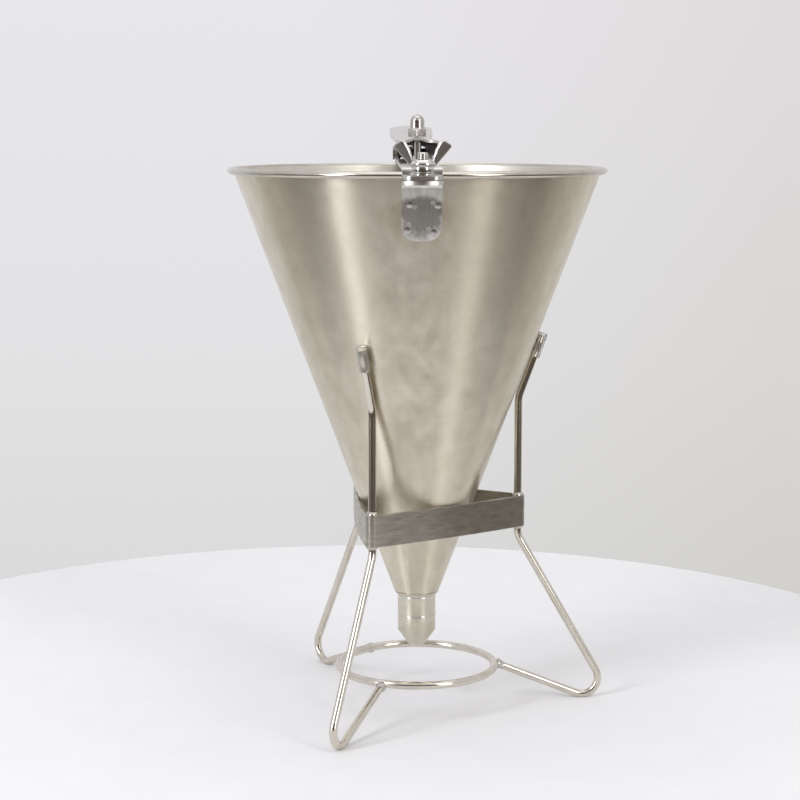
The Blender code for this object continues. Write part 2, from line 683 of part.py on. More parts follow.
def make_front_bracket(parent):
    """Plate on the cone bent out into the flange that carries the clamp stud."""
    plane = FLANGE_TOP - BRACKET_THICKNESS / 2
    corners = [
        plate_line(BRACKET_BOTTOM, BRACKET_THICKNESS),
        plate_line(plane, BRACKET_THICKNESS),
        (FLANGE_REACH, plane),
    ]
    route = front(rounded_route(corners, [BRACKET_BEND]))
    half = BRACKET_WIDTH / 2
    widths = widths_with_ends([(0, half), (route_length(route), half)], BRACKET_CORNER, FLANGE_CORNER)
    bracket = add_piece("front_bracket", bent_strip(route, widths, BRACKET_THICKNESS), parent, DULL)
    drill(bracket, parent, 0, -STUD_REACH, STUD_RADIUS + GAP, plane - BRACKET_BEND, FLANGE_TOP + OVERRUN)


def make_clamp(parent, washer_parent, nut_parent):
    """Stud on the front flange with its washer and wing nut."""
    place = standing_at(0, -STUD_REACH)
    chamfer = STUD_RADIUS / 4
    stud = [
        (0, FLANGE_TOP - BRACKET_THICKNESS), (STUD_RADIUS, FLANGE_TOP - BRACKET_THICKNESS),
        (STUD_RADIUS, STUD_TOP - chamfer), (STUD_RADIUS - chamfer, STUD_TOP), (0, STUD_TOP),
    ]
    add_piece("clamp_stud", turned(stud, ROUND_SIDES // 2, matrix=place), parent, CHROME)
    bore = STUD_RADIUS + GAP
    low = NUT_BASE - GAP - WASHER_THICKNESS
    washer = [(bore, low), (WASHER_RADIUS, low), (WASHER_RADIUS, NUT_BASE - GAP), (bore, NUT_BASE - GAP)]
    add_piece("clamp_washer", turned(washer, closed=True, matrix=place), washer_parent, CHROME)
    make_wing_nut(nut_parent, bore)


def make_wing_nut(parent, bore):
    """Hub with two flared wings that stand across the lever plane."""
    place = standing_at(0, -STUD_REACH)
    lip = (HUB_RADIUS - HUB_BASE_RADIUS) / 2
    hub = [
        (bore, 0), (HUB_BASE_RADIUS, 0), (HUB_RADIUS, HUB_BELLY),
        (HUB_TOP_RADIUS, HUB_HEIGHT - lip), (HUB_TOP_RADIUS - lip, HUB_HEIGHT), (bore, HUB_HEIGHT),
    ]
    hub = [(radius, NUT_BASE + height) for radius, height in hub]
    nut = add_piece("wing_nut", turned(hub, closed=True, matrix=place), parent, DULL)
    root = (bore + HUB_TOP_RADIUS) / 2
    half = WING_SPAN / 2
    outline = [
        (root, HUB_BELLY - lip), (HUB_RADIUS - lip, HUB_BELLY - lip), (half, WING_RISE * WING_TIP_SHARE),
        (half * WING_PEAK_SHARE, WING_RISE),
        (half * WING_HOLLOW_SHARE, WING_RISE * WING_HOLLOW_RISE_SHARE),
        (HUB_TOP_RADIUS + lip, HUB_HEIGHT), (root, HUB_HEIGHT - lip),
    ]
    radii = [lip / 2, lip, WING_CORNER, WING_CORNER, WING_HOLLOW_ROUND, lip / 2, lip / 2]
    for side in (1, -1):
        corners = [(side * x, NUT_BASE + z) for x, z in outline]
        wing = rounded_outline(corners, radii, BEND_STEPS // 2)
        flat = prism(wing, -WING_THICKNESS / 2, WING_THICKNESS / 2)
        stand_up = Matrix.Translation((0, -STUD_REACH, 0)) @ Matrix.Rotation(math.pi / 2, 4, "X")
        flat.transform(stand_up)
        boolean(nut, add_piece(f"wing_{'right' if side > 0 else 'left'}", flat, parent), "UNION")


def make_bridge(parent):
    """Strip across the rim: clamped flat in front, its narrow tongue held under the pivot pin."""
    joggle = RIM_RADIUS + GAP + BRIDGE_THICKNESS / 2
    corners = [
        (-BRIDGE_REACH, BRIDGE_LOW), (-joggle, BRIDGE_LOW),
        (-joggle, BRIDGE_HIGH), (TONGUE_REACH, BRIDGE_HIGH),
    ]
    route = rounded_route(corners, [JOGGLE_RADIUS, JOGGLE_RADIUS], BEND_STEPS // 2)
    length = route_length(route)
    neck = length - TONGUE_REACH + TONGUE_START
    wide = BRIDGE_WIDTH / 2
    narrow = TONGUE_WIDTH / 2
    spans = [(0, wide), (neck - (wide - narrow), wide), (neck, narrow), (length, narrow)]
    widths = widths_with_ends(spans, BRIDGE_CORNER, TONGUE_CORNER)
    bridge = add_piece("bridge_strip", bent_strip(route, widths, BRIDGE_THICKNESS), parent, CHROME)
    low = BRIDGE_LOW - BRIDGE_THICKNESS
    drill(bridge, parent, 0, -STUD_REACH, STUD_RADIUS + TURN_CLEARANCE, low, BRIDGE_HIGH + OVERRUN)
    drill(bridge, parent, 0, 0, ROD_RADIUS + TURN_CLEARANCE, low, BRIDGE_HIGH + OVERRUN)


def make_handle(parent):
    """One strap: plate on the cone, top, grip and foot plate lower down the cone."""
    thickness = HANDLE_THICKNESS
    corners = [
        plate_line(HANDLE_TOP_PLATE, thickness), plate_line(HANDLE_PLANE, thickness),
        (HANDLE_REACH - thickness / 2, HANDLE_PLANE), (HANDLE_LOW_REACH, HANDLE_LOW),
        plate_line(HANDLE_LOW - HANDLE_LOWER_DROP, thickness), plate_line(HANDLE_FOOT, thickness),
    ]
    radii = [BRACKET_BEND, HANDLE_UPPER_BEND, HANDLE_LOWER_BEND, HANDLE_FOOT_BEND]
    route = rounded_route(corners, radii)
    half = HANDLE_WIDTH / 2
    widths = widths_with_ends([(0, half), (route_length(route), half)], HANDLE_CORNER, HANDLE_CORNER)
    add_piece("handle_strap", bent_strip(route, widths, thickness), parent, SATIN)


# Clevis, pivot pin and spring

def along_x(outline, start, end):
    """Extrudes a side view of (y, z) points across the lever plane."""
    swap = Matrix(((0, 0, 1, 0), (1, 0, 0, 0), (0, 1, 0, 0), (0, 0, 0, 1)))
    return prism(outline, start, end, matrix=swap)


def pivot_bar(radius, half_length):
    """Round bar on the pivot's axis."""
    across = Matrix.Translation((0, PIVOT_REACH, PIVOT_HEIGHT)) @ Matrix.Rotation(math.pi / 2, 4, "Y")
    profile = [(0, -half_length), (radius, -half_length), (radius, half_length), (0, half_length)]
    return turned(profile, matrix=across)


def make_clevis(parent):
    """U-shaped clevis on the handle strap, whose two ears carry the pivot pin."""
    low = HANDLE_PLANE + HANDLE_THICKNESS / 2 + GAP
    top = low + CLEVIS_BASE
    outer = EAR_SPACE / 2 + EAR_THICKNESS
    base = [(-outer, CLEVIS_FRONT), (outer, CLEVIS_FRONT), (outer, CLEVIS_REAR), (-outer, CLEVIS_REAR)]
    clevis = add_piece("rear_clevis", prism(base, low, top), parent, DULL)
    crest = arc_points((PIVOT_REACH, PIVOT_HEIGHT), EAR_RADIUS, 0, math.pi, 2 * BEND_STEPS)
    ear = [(CLEVIS_FRONT, low), (CLEVIS_REAR, low), (CLEVIS_REAR, top)] + crest + [(CLEVIS_FRONT, top)]
    for side in (1, -1):
        inner = side * EAR_SPACE / 2
        start, end = sorted((inner, inner + side * EAR_THICKNESS))
        name = f"ear_{'right' if side > 0 else 'left'}"
        boolean(clevis, add_piece(name, along_x(ear, start, end), parent), "UNION")
    hole = pivot_bar(PIN_RADIUS + GAP, outer + OVERRUN)
    boolean(clevis, add_piece("ear_holes", hole, parent), "DIFFERENCE")


def make_pin(parent):
    """Pivot pin, headed at both ends outside the ears."""
    inner = EAR_SPACE / 2 + EAR_THICKNESS + GAP
    outer = inner + PIN_HEAD
    profile = [
        (0, -outer), (PIN_HEAD_RADIUS, -outer), (PIN_HEAD_RADIUS, -inner), (PIN_RADIUS, -inner),
        (PIN_RADIUS, inner), (PIN_HEAD_RADIUS, inner), (PIN_HEAD_RADIUS, outer), (0, outer),
    ]
    across = Matrix.Translation((0, PIVOT_REACH, PIVOT_HEIGHT)) @ Matrix.Rotation(math.pi / 2, 4, "Y")
    add_piece("pivot_pin", turned(profile, matrix=across), parent, CHROME)


def thumb_plane(reach):
    """Height of the thumb plate's middle plane at a distance behind the funnel's axis."""
    share = (reach - LEVER_KNEE) / (THUMB_REACH - LEVER_KNEE)
    return LEVER_AT_PIVOT + (THUMB_HEIGHT - LEVER_AT_PIVOT) * share


def least_gap(points, radius, apart):
    """Smallest clearance of a tube to itself, between points more than a few steps apart."""
    nearest = min((a - b).length for i, a in enumerate(points) for b in points[i + apart:])
    return nearest - 2 * radius


def make_spring(parent):
    """Compression spring on its post, between the handle strap and the thumb plate."""
    low = HANDLE_PLANE + HANDLE_THICKNESS / 2 + GAP + SPRING_WIRE
    slope = (THUMB_HEIGHT - LEVER_AT_PIVOT) / (THUMB_REACH - LEVER_KNEE)
    outer = SPRING_RADIUS + SPRING_WIRE
    high = thumb_plane(SPRING_REACH) - slope * outer - LEVER_THICKNESS - GAP - SPRING_WIRE
    points = []
    for step in range(SPRING_TURNS * SPRING_STEPS + 1):
        share = step / (SPRING_TURNS * SPRING_STEPS)
        angle = math.tau * step / SPRING_STEPS
        x = SPRING_RADIUS * math.cos(angle)
        y = SPRING_REACH + SPRING_RADIUS * math.sin(angle)
        points.append(Vector((x, y, low + (high - low) * share)))
    apart = least_gap(points, SPRING_WIRE, SPRING_STEPS // 2)
    print("return_spring least gap to itself, mm:", round(apart / MM, 3))
    add_piece("return_spring", tube(points, SPRING_WIRE, SPRING_SIDES), parent, CHROME)
    base = HANDLE_PLANE + HANDLE_THICKNESS / 2 + GAP
    round_off = POST_RADIUS / 3
    post = [
        (0, base), (POST_RADIUS, base), (POST_RADIUS, base + POST_HEIGHT - round_off),
        (POST_RADIUS - round_off, base + POST_HEIGHT), (0, base + POST_HEIGHT),
    ]
    solid = turned(post, ROUND_SIDES // 2, matrix=standing_at(0, SPRING_REACH))
    add_piece("spring_post", solid, parent, CHROME)


# Lever

def arm_height(reach):
    """Height of the arm's middle plane at a distance behind the funnel's axis."""
    return LEVER_AT_ROD - ARM_RISE * reach / LEVER_KNEE


def make_lever(parent):
    """Rocker lever: crowned arm over the rod, folded sides with the pin, and a flared thumb plate."""
    corners = [
        (-LEVER_FRONT, arm_height(-LEVER_FRONT)), (LEVER_KNEE, LEVER_AT_PIVOT), (THUMB_REACH, THUMB_HEIGHT),
        (THUMB_REACH, THUMB_HEIGHT - THUMB_LIP),
    ]
    route = rounded_route(corners, [LEVER_BEND, THUMB_BEND])
    length = route_length(route)
    knee = LEVER_FRONT + LEVER_KNEE
    half = LEVER_WIDTH / 2
    neck = LEVER_NECK_WIDTH / 2
    flare_start = knee + CLEVIS_REAR - LEVER_KNEE
    spans = [
        (0, half), (knee - CHEEK_LENGTH, neck), (flare_start, neck),
        (flare_start + THUMB_WIDTH, THUMB_WIDTH / 2), (length, THUMB_WIDTH / 2),
    ]
    widths = widths_with_ends(spans, LEVER_CORNER, LEVER_LIP_CORNER)
    lever = add_piece("lever", bent_strip(route, widths, LEVER_THICKNESS, LEVER_CROWN), parent, SATIN)
    top = LEVER_AT_PIVOT - LEVER_CROWN / 2
    below = arc_points((PIVOT_REACH, PIVOT_HEIGHT), CHEEK_DROP, math.pi, math.tau, 2 * BEND_STEPS)
    cheek = below + [
        (PIVOT_REACH + CHEEK_LENGTH / 2, top), (-SIDE_FRONT, arm_height(-SIDE_FRONT) - LEVER_CROWN / 2),
        (SIDE_RAKE - SIDE_FRONT, PIVOT_HEIGHT),
    ]
    for side in (1, -1):
        start, end = sorted((side * (neck - LEVER_THICKNESS), side * neck))
        name = f"cheek_{'right' if side > 0 else 'left'}"
        boolean(lever, add_piece(name, along_x(cheek, start, end), parent), "UNION")
    hole = pivot_bar(PIN_RADIUS + TURN_CLEARANCE, neck + OVERRUN)
    boolean(lever, add_piece("cheek_holes", hole, parent), "DIFFERENCE")
    round_end = SLOT_WIDTH / 2
    straight = SLOT_LENGTH / 2 - round_end
    slot = arc_points((0, straight), round_end, 0, math.pi, BEND_STEPS)
    slot += arc_points((0, -straight), round_end, math.pi, math.tau, BEND_STEPS)
    low = LEVER_AT_ROD - LEVER_CROWN - LEVER_THICKNESS - OVERRUN
    cutter = prism(slot, low, LEVER_AT_ROD + LEVER_THICKNESS + OVERRUN)
    boolean(lever, add_piece("rod_slot", cutter, parent), "DIFFERENCE")


# Valve rod

def make_rod(parent):
    """Rod down the funnel's axis, its cap nut on the lever and the plug in the valve seat."""
    flank = GAP * math.sqrt(1 + SEAT_SLOPE ** 2)
    nose = SEAT_BOTTOM + (PLUG_NOSE + flank - OUTLET_BORE) / SEAT_SLOPE
    shoulder = SEAT_BOTTOM + (PLUG_RADIUS + flank - OUTLET_BORE) / SEAT_SLOPE
    rim = shoulder + PLUG_RIM
    top = rim + PLUG_TOP
    bore = ROD_RADIUS + GAP
    plug = [
        (bore, top), (PLUG_TOP_RADIUS, top), (PLUG_RADIUS, rim), (PLUG_RADIUS, shoulder), (PLUG_NOSE, nose),
        (0, nose), (0, top - PLUG_BORE_DEPTH), (bore, top - PLUG_BORE_DEPTH),
    ]
    add_piece("valve_plug", turned(plug, closed=True), parent, SATIN)
    foot = top - PLUG_BORE_DEPTH + GAP
    head = CAP_BORE_TOP - bore / 2 - GAP
    chamfer = ROD_RADIUS / 4
    rod = [
        (0, foot), (ROD_RADIUS, foot), (ROD_RADIUS, head - chamfer), (ROD_RADIUS - chamfer, head), (0, head),
    ]
    add_piece("valve_rod", turned(rod, ROUND_SIDES // 2), parent, CHROME)
    make_cap_nut(parent, bore)


def make_cap_nut(parent, bore):
    """Domed cap nut: hexagon below, ball end above, blind bore over the rod."""
    hex_top = CAP_BASE + CAP_HEX_HEIGHT
    flat_radius = CAP_HEX_RADIUS * math.cos(math.radians(30))
    bevel = CAP_HEX_RADIUS - flat_radius
    cap_top = CAP_BASE + CAP_HEIGHT
    dome = arc_points((0, cap_top - CAP_DOME_RADIUS), CAP_DOME_RADIUS, 0, math.pi / 2, BEND_STEPS)[:-1]
    profile = [
        (bore, CAP_BASE), (flat_radius, CAP_BASE), (CAP_HEX_RADIUS, CAP_BASE + bevel, 6),
        (CAP_HEX_RADIUS, hex_top - bevel, 6), (flat_radius, hex_top), (CAP_DOME_RADIUS, hex_top),
        *dome, (0, cap_top), (0, CAP_BORE_TOP), (bore, CAP_BORE_TOP - bore / 2),
    ]
    turn = math.radians(CAP_TURN)
    add_piece("cap_nut", turned(profile, CAP_SIDES, closed=True, phase=turn), parent, CHROME)


def main():
    clear_scene()
    stand = frame_empty("stand_frame", (0, 0, 0))
    funnel = frame_empty("funnel_frame", (0, 0, 0), stand)
    tip = frame_empty("tip_frame", (0, 0, TIP_BOTTOM), funnel)
    washer = frame_empty("clamp_rise_axis", (0, -STUD_REACH, NUT_BASE), funnel)
    nut = frame_empty("clamp_turn_axis", (0, -STUD_REACH, NUT_BASE), washer)
    lever = frame_empty("lever_pivot", (0, PIVOT_REACH, PIVOT_HEIGHT), funnel)
    rod = frame_empty("rod_axis", (0, 0, CAP_BASE), funnel)
    make_stand(stand)
    make_cone(funnel)
    make_collar(funnel)
    make_tip(tip)
    make_front_bracket(funnel)
    make_clamp(funnel, washer, nut)
    make_bridge(funnel)
    make_handle(funnel)
    make_clevis(funnel)
    make_pin(funnel)
    make_spring(funnel)
    make_lever(lever)
    make_rod(rod)


main()
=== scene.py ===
"""Looks of the batter dispenser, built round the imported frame."""

import json
import math

import bmesh
import bpy
from mathutils import Matrix, Vector


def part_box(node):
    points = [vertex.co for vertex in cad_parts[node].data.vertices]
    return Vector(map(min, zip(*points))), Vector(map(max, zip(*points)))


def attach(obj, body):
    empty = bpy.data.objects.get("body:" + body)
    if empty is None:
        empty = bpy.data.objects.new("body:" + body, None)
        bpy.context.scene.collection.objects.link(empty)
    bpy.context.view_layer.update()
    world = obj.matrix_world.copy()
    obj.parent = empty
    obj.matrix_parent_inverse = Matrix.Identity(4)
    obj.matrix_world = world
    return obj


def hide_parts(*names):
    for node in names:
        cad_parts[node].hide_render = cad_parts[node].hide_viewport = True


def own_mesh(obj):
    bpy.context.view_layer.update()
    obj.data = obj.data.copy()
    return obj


MM = 0.001
AXIS = Vector((-1.03 * MM, -24.55 * MM, 0))      # the funnel's axis in plan

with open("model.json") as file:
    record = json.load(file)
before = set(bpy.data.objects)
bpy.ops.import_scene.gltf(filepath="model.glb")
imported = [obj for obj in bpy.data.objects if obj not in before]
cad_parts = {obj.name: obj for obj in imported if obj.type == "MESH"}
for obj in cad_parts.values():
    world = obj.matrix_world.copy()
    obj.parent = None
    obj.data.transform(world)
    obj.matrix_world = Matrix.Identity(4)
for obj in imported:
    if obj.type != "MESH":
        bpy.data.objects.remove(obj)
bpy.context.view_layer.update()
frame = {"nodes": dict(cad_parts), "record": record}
nodes = frame["nodes"]
body_of = {node: body for body, members in frame["record"]["behaviour"]["bodies"].items() for node in members}


# Shader nodes

def new_material(name):
    material = bpy.data.materials.new(name)
    material.use_nodes = True
    tree = material.node_tree
    return material, tree, tree.nodes["Principled BSDF"]


def add(tree, kind, **values):
    """A node with its properties, and its inputs by name."""
    node = tree.nodes.new(kind)
    for key, value in values.items():
        if hasattr(node, key):
            setattr(node, key, value)
        else:
            node.inputs[key.replace("_", " ")].default_value = value
    return node


def link(tree, source, output, target, socket):
    tree.links.new(source.outputs[output], target.inputs[socket])


def noise(tree, size, detail=3.0, roughness=0.55, moved=(0, 0, 0)):
    """Noise over the piece at rest; size is its grain in millimetres along X, Y and Z."""
    coords = add(tree, "ShaderNodeTexCoord")
    mapping = add(tree, "ShaderNodeMapping")
    mapping.inputs["Scale"].default_value = [1 / (length * MM) for length in size]
    mapping.inputs["Location"].default_value = moved
    link(tree, coords, "Object", mapping, "Vector")
    texture = add(tree, "ShaderNodeTexNoise", Scale=1.0, Detail=detail, Roughness=roughness)
    link(tree, mapping, "Vector", texture, "Vector")
    return texture


def ramp(tree, source, output, stops):
    """Colour ramp fed by a value; stops are (place, colour)."""
    node = add(tree, "ShaderNodeValToRGB")
    band = node.color_ramp
    band.elements[0].position, band.elements[0].color = stops[0][0], (*stops[0][1], 1)
    band.elements[1].position, band.elements[1].color = stops[-1][0], (*stops[-1][1], 1)
    for place, colour in stops[1:-1]:
        band.elements.new(place).color = (*colour, 1)
    link(tree, source, output, node, "Fac")
    return node


def ranged(tree, source, output, start, end, low, high, smooth=False):
    """A value's stretch from start to end, mapped to low..high and clamped."""
    node = add(tree, "ShaderNodeMapRange")
    if smooth:
        node.interpolation_type = "SMOOTHSTEP"
    for key, value in (("From Min", start), ("From Max", end), ("To Min", low), ("To Max", high)):
        node.inputs[key].default_value = value
    link(tree, source, output, node, "Value")
    return node


def computed(tree, operation, *operands):
    """A Math node over numbers and (node, output) pairs."""
    node = add(tree, "ShaderNodeMath", operation=operation)
    for index, operand in enumerate(operands):
        if isinstance(operand, tuple):
            link(tree, *operand, node, index)
        else:
            node.inputs[index].default_value = operand
    return node


def multiplied(tree, first, second):
    """Product of two colours or values, given as output sockets."""
    mix = add(tree, "ShaderNodeMix", data_type="RGBA", blend_type="MULTIPLY")
    mix.inputs["Factor"].default_value = 1.0
    tree.links.new(first, mix.inputs[6])
    tree.links.new(second, mix.inputs[7])
    return mix.outputs[2]


def bump(tree, shader, layers):
    """Chains Bump nodes; layers are (source, output, strength, depth in millimetres)."""
    before = None
    for source, output, strength, depth in layers:
        node = add(tree, "ShaderNodeBump")
        node.inputs["Strength"].default_value = strength
        node.inputs["Distance"].default_value = depth * MM
        link(tree, source, output, node, "Height")
        if before:
            link(tree, before, "Normal", node, "Normal")
        before = node
    link(tree, before, "Normal", shader, "Normal")


# Materials

def grey(level, warmth=0.0):
    """A grey with its blue taken down by the warmth."""
    return (level, level * (1 - warmth * 0.4), level * (1 - warmth))


def darkened_oval(tree, colour, centre, size, dark):
    """Colour darkened inside a ragged oval that fades slowly downwards.

    The centre is in metres and the size, half the oval's width along each axis, in millimetres.
    """
    pace_below = 0.33                                # how fast it fades below its middle, against above
    raggedness = 0.16
    coords = add(tree, "ShaderNodeTexCoord")
    shifted = add(tree, "ShaderNodeVectorMath", operation="SUBTRACT")
    link(tree, coords, "Object", shifted, 0)
    shifted.inputs[1].default_value = centre
    scaled = add(tree, "ShaderNodeVectorMath", operation="DIVIDE")
    link(tree, shifted, "Vector", scaled, 0)
    scaled.inputs[1].default_value = [length * MM for length in size]
    parts = add(tree, "ShaderNodeSeparateXYZ")
    link(tree, scaled, "Vector", parts, "Vector")
    under = computed(tree, "MULTIPLY", (parts, "Z"), -pace_below)
    height = computed(tree, "MAXIMUM", (parts, "Z"), (under, "Value"))
    joined = add(tree, "ShaderNodeCombineXYZ")
    link(tree, parts, "X", joined, "X")
    link(tree, parts, "Y", joined, "Y")
    link(tree, height, "Value", joined, "Z")
    reach = add(tree, "ShaderNodeVectorMath", operation="LENGTH")
    link(tree, joined, "Vector", reach, 0)
    ragged_edge_noise = noise(tree, (4, 4, 4), 5, 0.65, (0.4, 0.8, 0.2))
    ragged = ranged(tree, ragged_edge_noise, "Fac", 0.3, 0.7, -raggedness, raggedness)
    pushed = computed(tree, "ADD", (reach, "Value"), (ragged, "Result"))
    shade = ramp(tree, ranged(tree, pushed, "Value", 0.62, 1.1, 0.0, 1.0, True), "Result",
                 [(0.0, (dark, dark * 0.97, dark * 0.93)), (1.0, (1.0, 1.0, 1.0))])
    return multiplied(tree, colour, shade.outputs["Color"])


def steel(name, dark, light, rough, grain, cloud, depth=0.02, streak=0.12, wear=0.0, aniso=0.0,
          dark_oval=None, detail=5):
    """Steel with a cloudy tint, a directional grain and uneven gloss; wear brightens its edges.

    Grain and cloud are their sizes along X, Y and Z, and depth is the grain's, all in millimetres.
    """
    material, tree, shader = new_material(name)
    shader.inputs["Metallic"].default_value = 1.0
    shader.inputs["Anisotropic"].default_value = aniso
    shader.inputs["Anisotropic Rotation"].default_value = 0.25 if aniso else 0.0
    clouds = noise(tree, cloud, detail, 0.62)
    lines = noise(tree, grain, 3, 0.6, (0.3, 0.1, 0.7))
    between = tuple((low + high) / 2 for low, high in zip(dark, light))
    tint = ramp(tree, clouds, "Fac", [(0.32, dark), (0.5, between), (0.68, light)])
    streaks = ramp(tree, lines, "Fac", [(0.3, (1 - streak,) * 3), (0.7, (1.0, 1.0, 1.0))])
    colour = multiplied(tree, tint.outputs["Color"], streaks.outputs["Color"])
    # The dark oval darkens part of the colour: a painted reflection on the cone and the bracket plate, and a
    # darker right side on the band.
    if dark_oval:
        colour = darkened_oval(tree, colour, *dark_oval)
    if wear:
        shape = add(tree, "ShaderNodeNewGeometry")
        edge = ranged(tree, shape, "Pointiness", 0.52, 0.62, 0.0, wear)
        worn = add(tree, "ShaderNodeMix", data_type="RGBA")
        tree.links.new(edge.outputs["Result"], worn.inputs["Factor"])
        tree.links.new(colour, worn.inputs[6])
        worn.inputs[7].default_value = (*grey(0.84, 0.04), 1)
        colour = worn.outputs[2]
    tree.links.new(colour, shader.inputs["Base Color"])
    gloss = ranged(tree, clouds, "Fac", 0.3, 0.7, rough * 1.15, rough * 0.87)
    link(tree, gloss, "Result", shader, "Roughness")
    layers = [(lines, "Fac", 0.4, depth)]
    if detail > 3:
        layers.append((clouds, "Fac", 0.1, depth * 2))
    bump(tree, shader, layers)
    return material


def soft_plastic(name):
    """Clear soft plastic with an uneven gloss."""
    material, tree, shader = new_material(name)
    shader.inputs["Transmission Weight"].default_value = 0.92
    shader.inputs["IOR"].default_value = 1.46
    speckle = noise(tree, (2.2, 2.2, 4), 2, 0.5)
    tint = ramp(tree, speckle, "Fac", [(0.3, grey(0.92, 0.05)), (0.7, grey(0.98, 0.03))])
    link(tree, tint, "Color", shader, "Base Color")
    gloss = ranged(tree, speckle, "Fac", 0.3, 0.7, 0.16, 0.25)
    link(tree, gloss, "Result", shader, "Roughness")
    bump(tree, shader, [(speckle, "Fac", 0.1, 0.02)])
    return material


# Painted reflection on the cone: a dark oval beside the front bracket, standing in for the dark floor beyond
# the table mirrored there.
CONE_PAINTED_REFLECTION = AXIS + Vector((-1.5, -84, 258.5)) * MM
# Painted reflection on the bracket plate: a dark oval with an arched top, standing in for the dark floor
# beyond the table mirrored in the flat plate.
PLATE_PAINTED_REFLECTION = AXIS + Vector((0, -88, 259.9)) * MM
# Darkens the band towards its right side.
BAND_RIGHT_DARKENING = AXIS + Vector((52, 4, 100)) * MM
SPUN = steel("spun_satin_steel", (0.67, 0.615, 0.50), (0.755, 0.70, 0.58), 0.33, (90, 90, 0.35), (9, 9, 11),
             depth=0.006, streak=0.05, aniso=0.9, detail=3, dark_oval=(CONE_PAINTED_REFLECTION, (17.5, 30, 6.5), 0.84))
TURNED = steel("turned_steel", (0.64, 0.61, 0.50), (0.73, 0.70, 0.585), 0.34, (30, 30, 0.25), (5, 5, 5),
               depth=0.01, aniso=0.6)
BAND = steel("dull_band_steel", (0.30, 0.28, 0.23), (0.66, 0.62, 0.53), 0.34, (9, 9, 0.45), (9, 9, 2.2),
             depth=0.05, streak=0.32, wear=0.4, dark_oval=(BAND_RIGHT_DARKENING, (60, 60, 90), 0.74))
SATIN = steel("spun_inside_steel", (0.70, 0.67, 0.59), (0.76, 0.73, 0.65), 0.43, (90, 90, 0.35),
              (14, 14, 18), depth=0.006, streak=0.05, aniso=0.5)
BEADED = steel("rolled_bead_steel", (0.54, 0.51, 0.44), (0.64, 0.61, 0.54), 0.17, (40, 40, 0.3),
               (12, 12, 12), depth=0.01, streak=0.08)
BRACKET = steel("bracket_steel", (0.70, 0.68, 0.62), (0.82, 0.80, 0.75), 0.33, (1.2, 8, 5), (3.2, 3.2, 3.2),
                depth=0.03, wear=0.4, dark_oval=(PLATE_PAINTED_REFLECTION, (12.5, 30, 5.5), 0.40))
STRIP = steel("polished_strip_steel", (0.62, 0.61, 0.58), (0.70, 0.69, 0.66), 0.33, (0.5, 25, 3),
              (10, 20, 10), wear=0.4)
LEVER = steel("lever_steel", (0.68, 0.67, 0.64), (0.75, 0.74, 0.71), 0.42, (0.5, 25, 3), (10, 20, 10),
              streak=0.06)
# Painted shade: near-black steel for the inside of the lever's folded arm, where the hollow under it is dark.
UNDER_PAINTED_SHADE = steel("lever_inside_painted_shade_steel", (0.085, 0.07, 0.06), (0.15, 0.13, 0.115), 0.45, (0.5, 25, 3),
              (6, 12, 6))
# Painted shade: the clevis here, and the pivot pin, spring and post below, get dark steel so that the space
# under the lever reads dark.
CLEVIS_PAINTED_SHADE = steel("clevis_painted_shade_steel", (0.20, 0.19, 0.175), (0.30, 0.285, 0.265), 0.36, (1.2, 8, 5), (5, 5, 5),
               depth=0.03, wear=0.4)
SPRUNG_PAINTED_SHADE = steel("spring_painted_shade_steel", (0.26, 0.25, 0.23), (0.36, 0.35, 0.33), 0.22, (1, 1, 1), (3, 3, 3), depth=0.01)
CAST = steel("wing_face_steel", (0.34, 0.32, 0.30), (0.44, 0.42, 0.395), 0.40, (0.8, 0.8, 0.8), (3, 3, 3),
             depth=0.05, wear=0.3)
# Painted highlight and shade: the wings' bevelled edges get this lighter steel, and their flat faces the
# darker steel above.
RIDGE_PAINTED_HIGHLIGHT = steel("wing_edge_painted_highlight_steel", (0.56, 0.545, 0.52), (0.68, 0.665, 0.64), 0.33, (0.8, 0.8, 0.8),
              (2, 2, 2), depth=0.03)
HUB = steel("wing_nut_steel", (0.62, 0.605, 0.57), (0.78, 0.77, 0.74), 0.17, (1.2, 1.2, 1.2),
            (2.5, 2.5, 2.5), depth=0.03, wear=0.5)
BRIGHT = steel("bright_plated_steel", (0.64, 0.62, 0.58), (0.74, 0.725, 0.69), 0.14, (2, 2, 1), (6, 6, 6),
               depth=0.01, streak=0.05, wear=0.3)
DOMED = steel("domed_nut_steel", (0.51, 0.49, 0.45), (0.61, 0.59, 0.55), 0.18, (2, 2, 1), (6, 6, 6),
              depth=0.01, streak=0.05, wear=0.3)
WIRE = steel("nickel_wire", (0.64, 0.60, 0.52), (0.75, 0.71, 0.63), 0.16, (1.5, 1.5, 6), (7, 7, 14),
             depth=0.015, streak=0.06)
WELD = steel("weld_steel", (0.50, 0.48, 0.44), (0.70, 0.68, 0.64), 0.22, (0.6, 0.6, 0.6), (1.2, 1.2, 1.2),
             depth=0.08)
SPOT = steel("spot_weld_steel", (0.44, 0.43, 0.40), (0.60, 0.585, 0.55), 0.33, (1, 1, 1), (2, 2, 2))
SLEEVE = soft_plastic("sleeve_plastic")

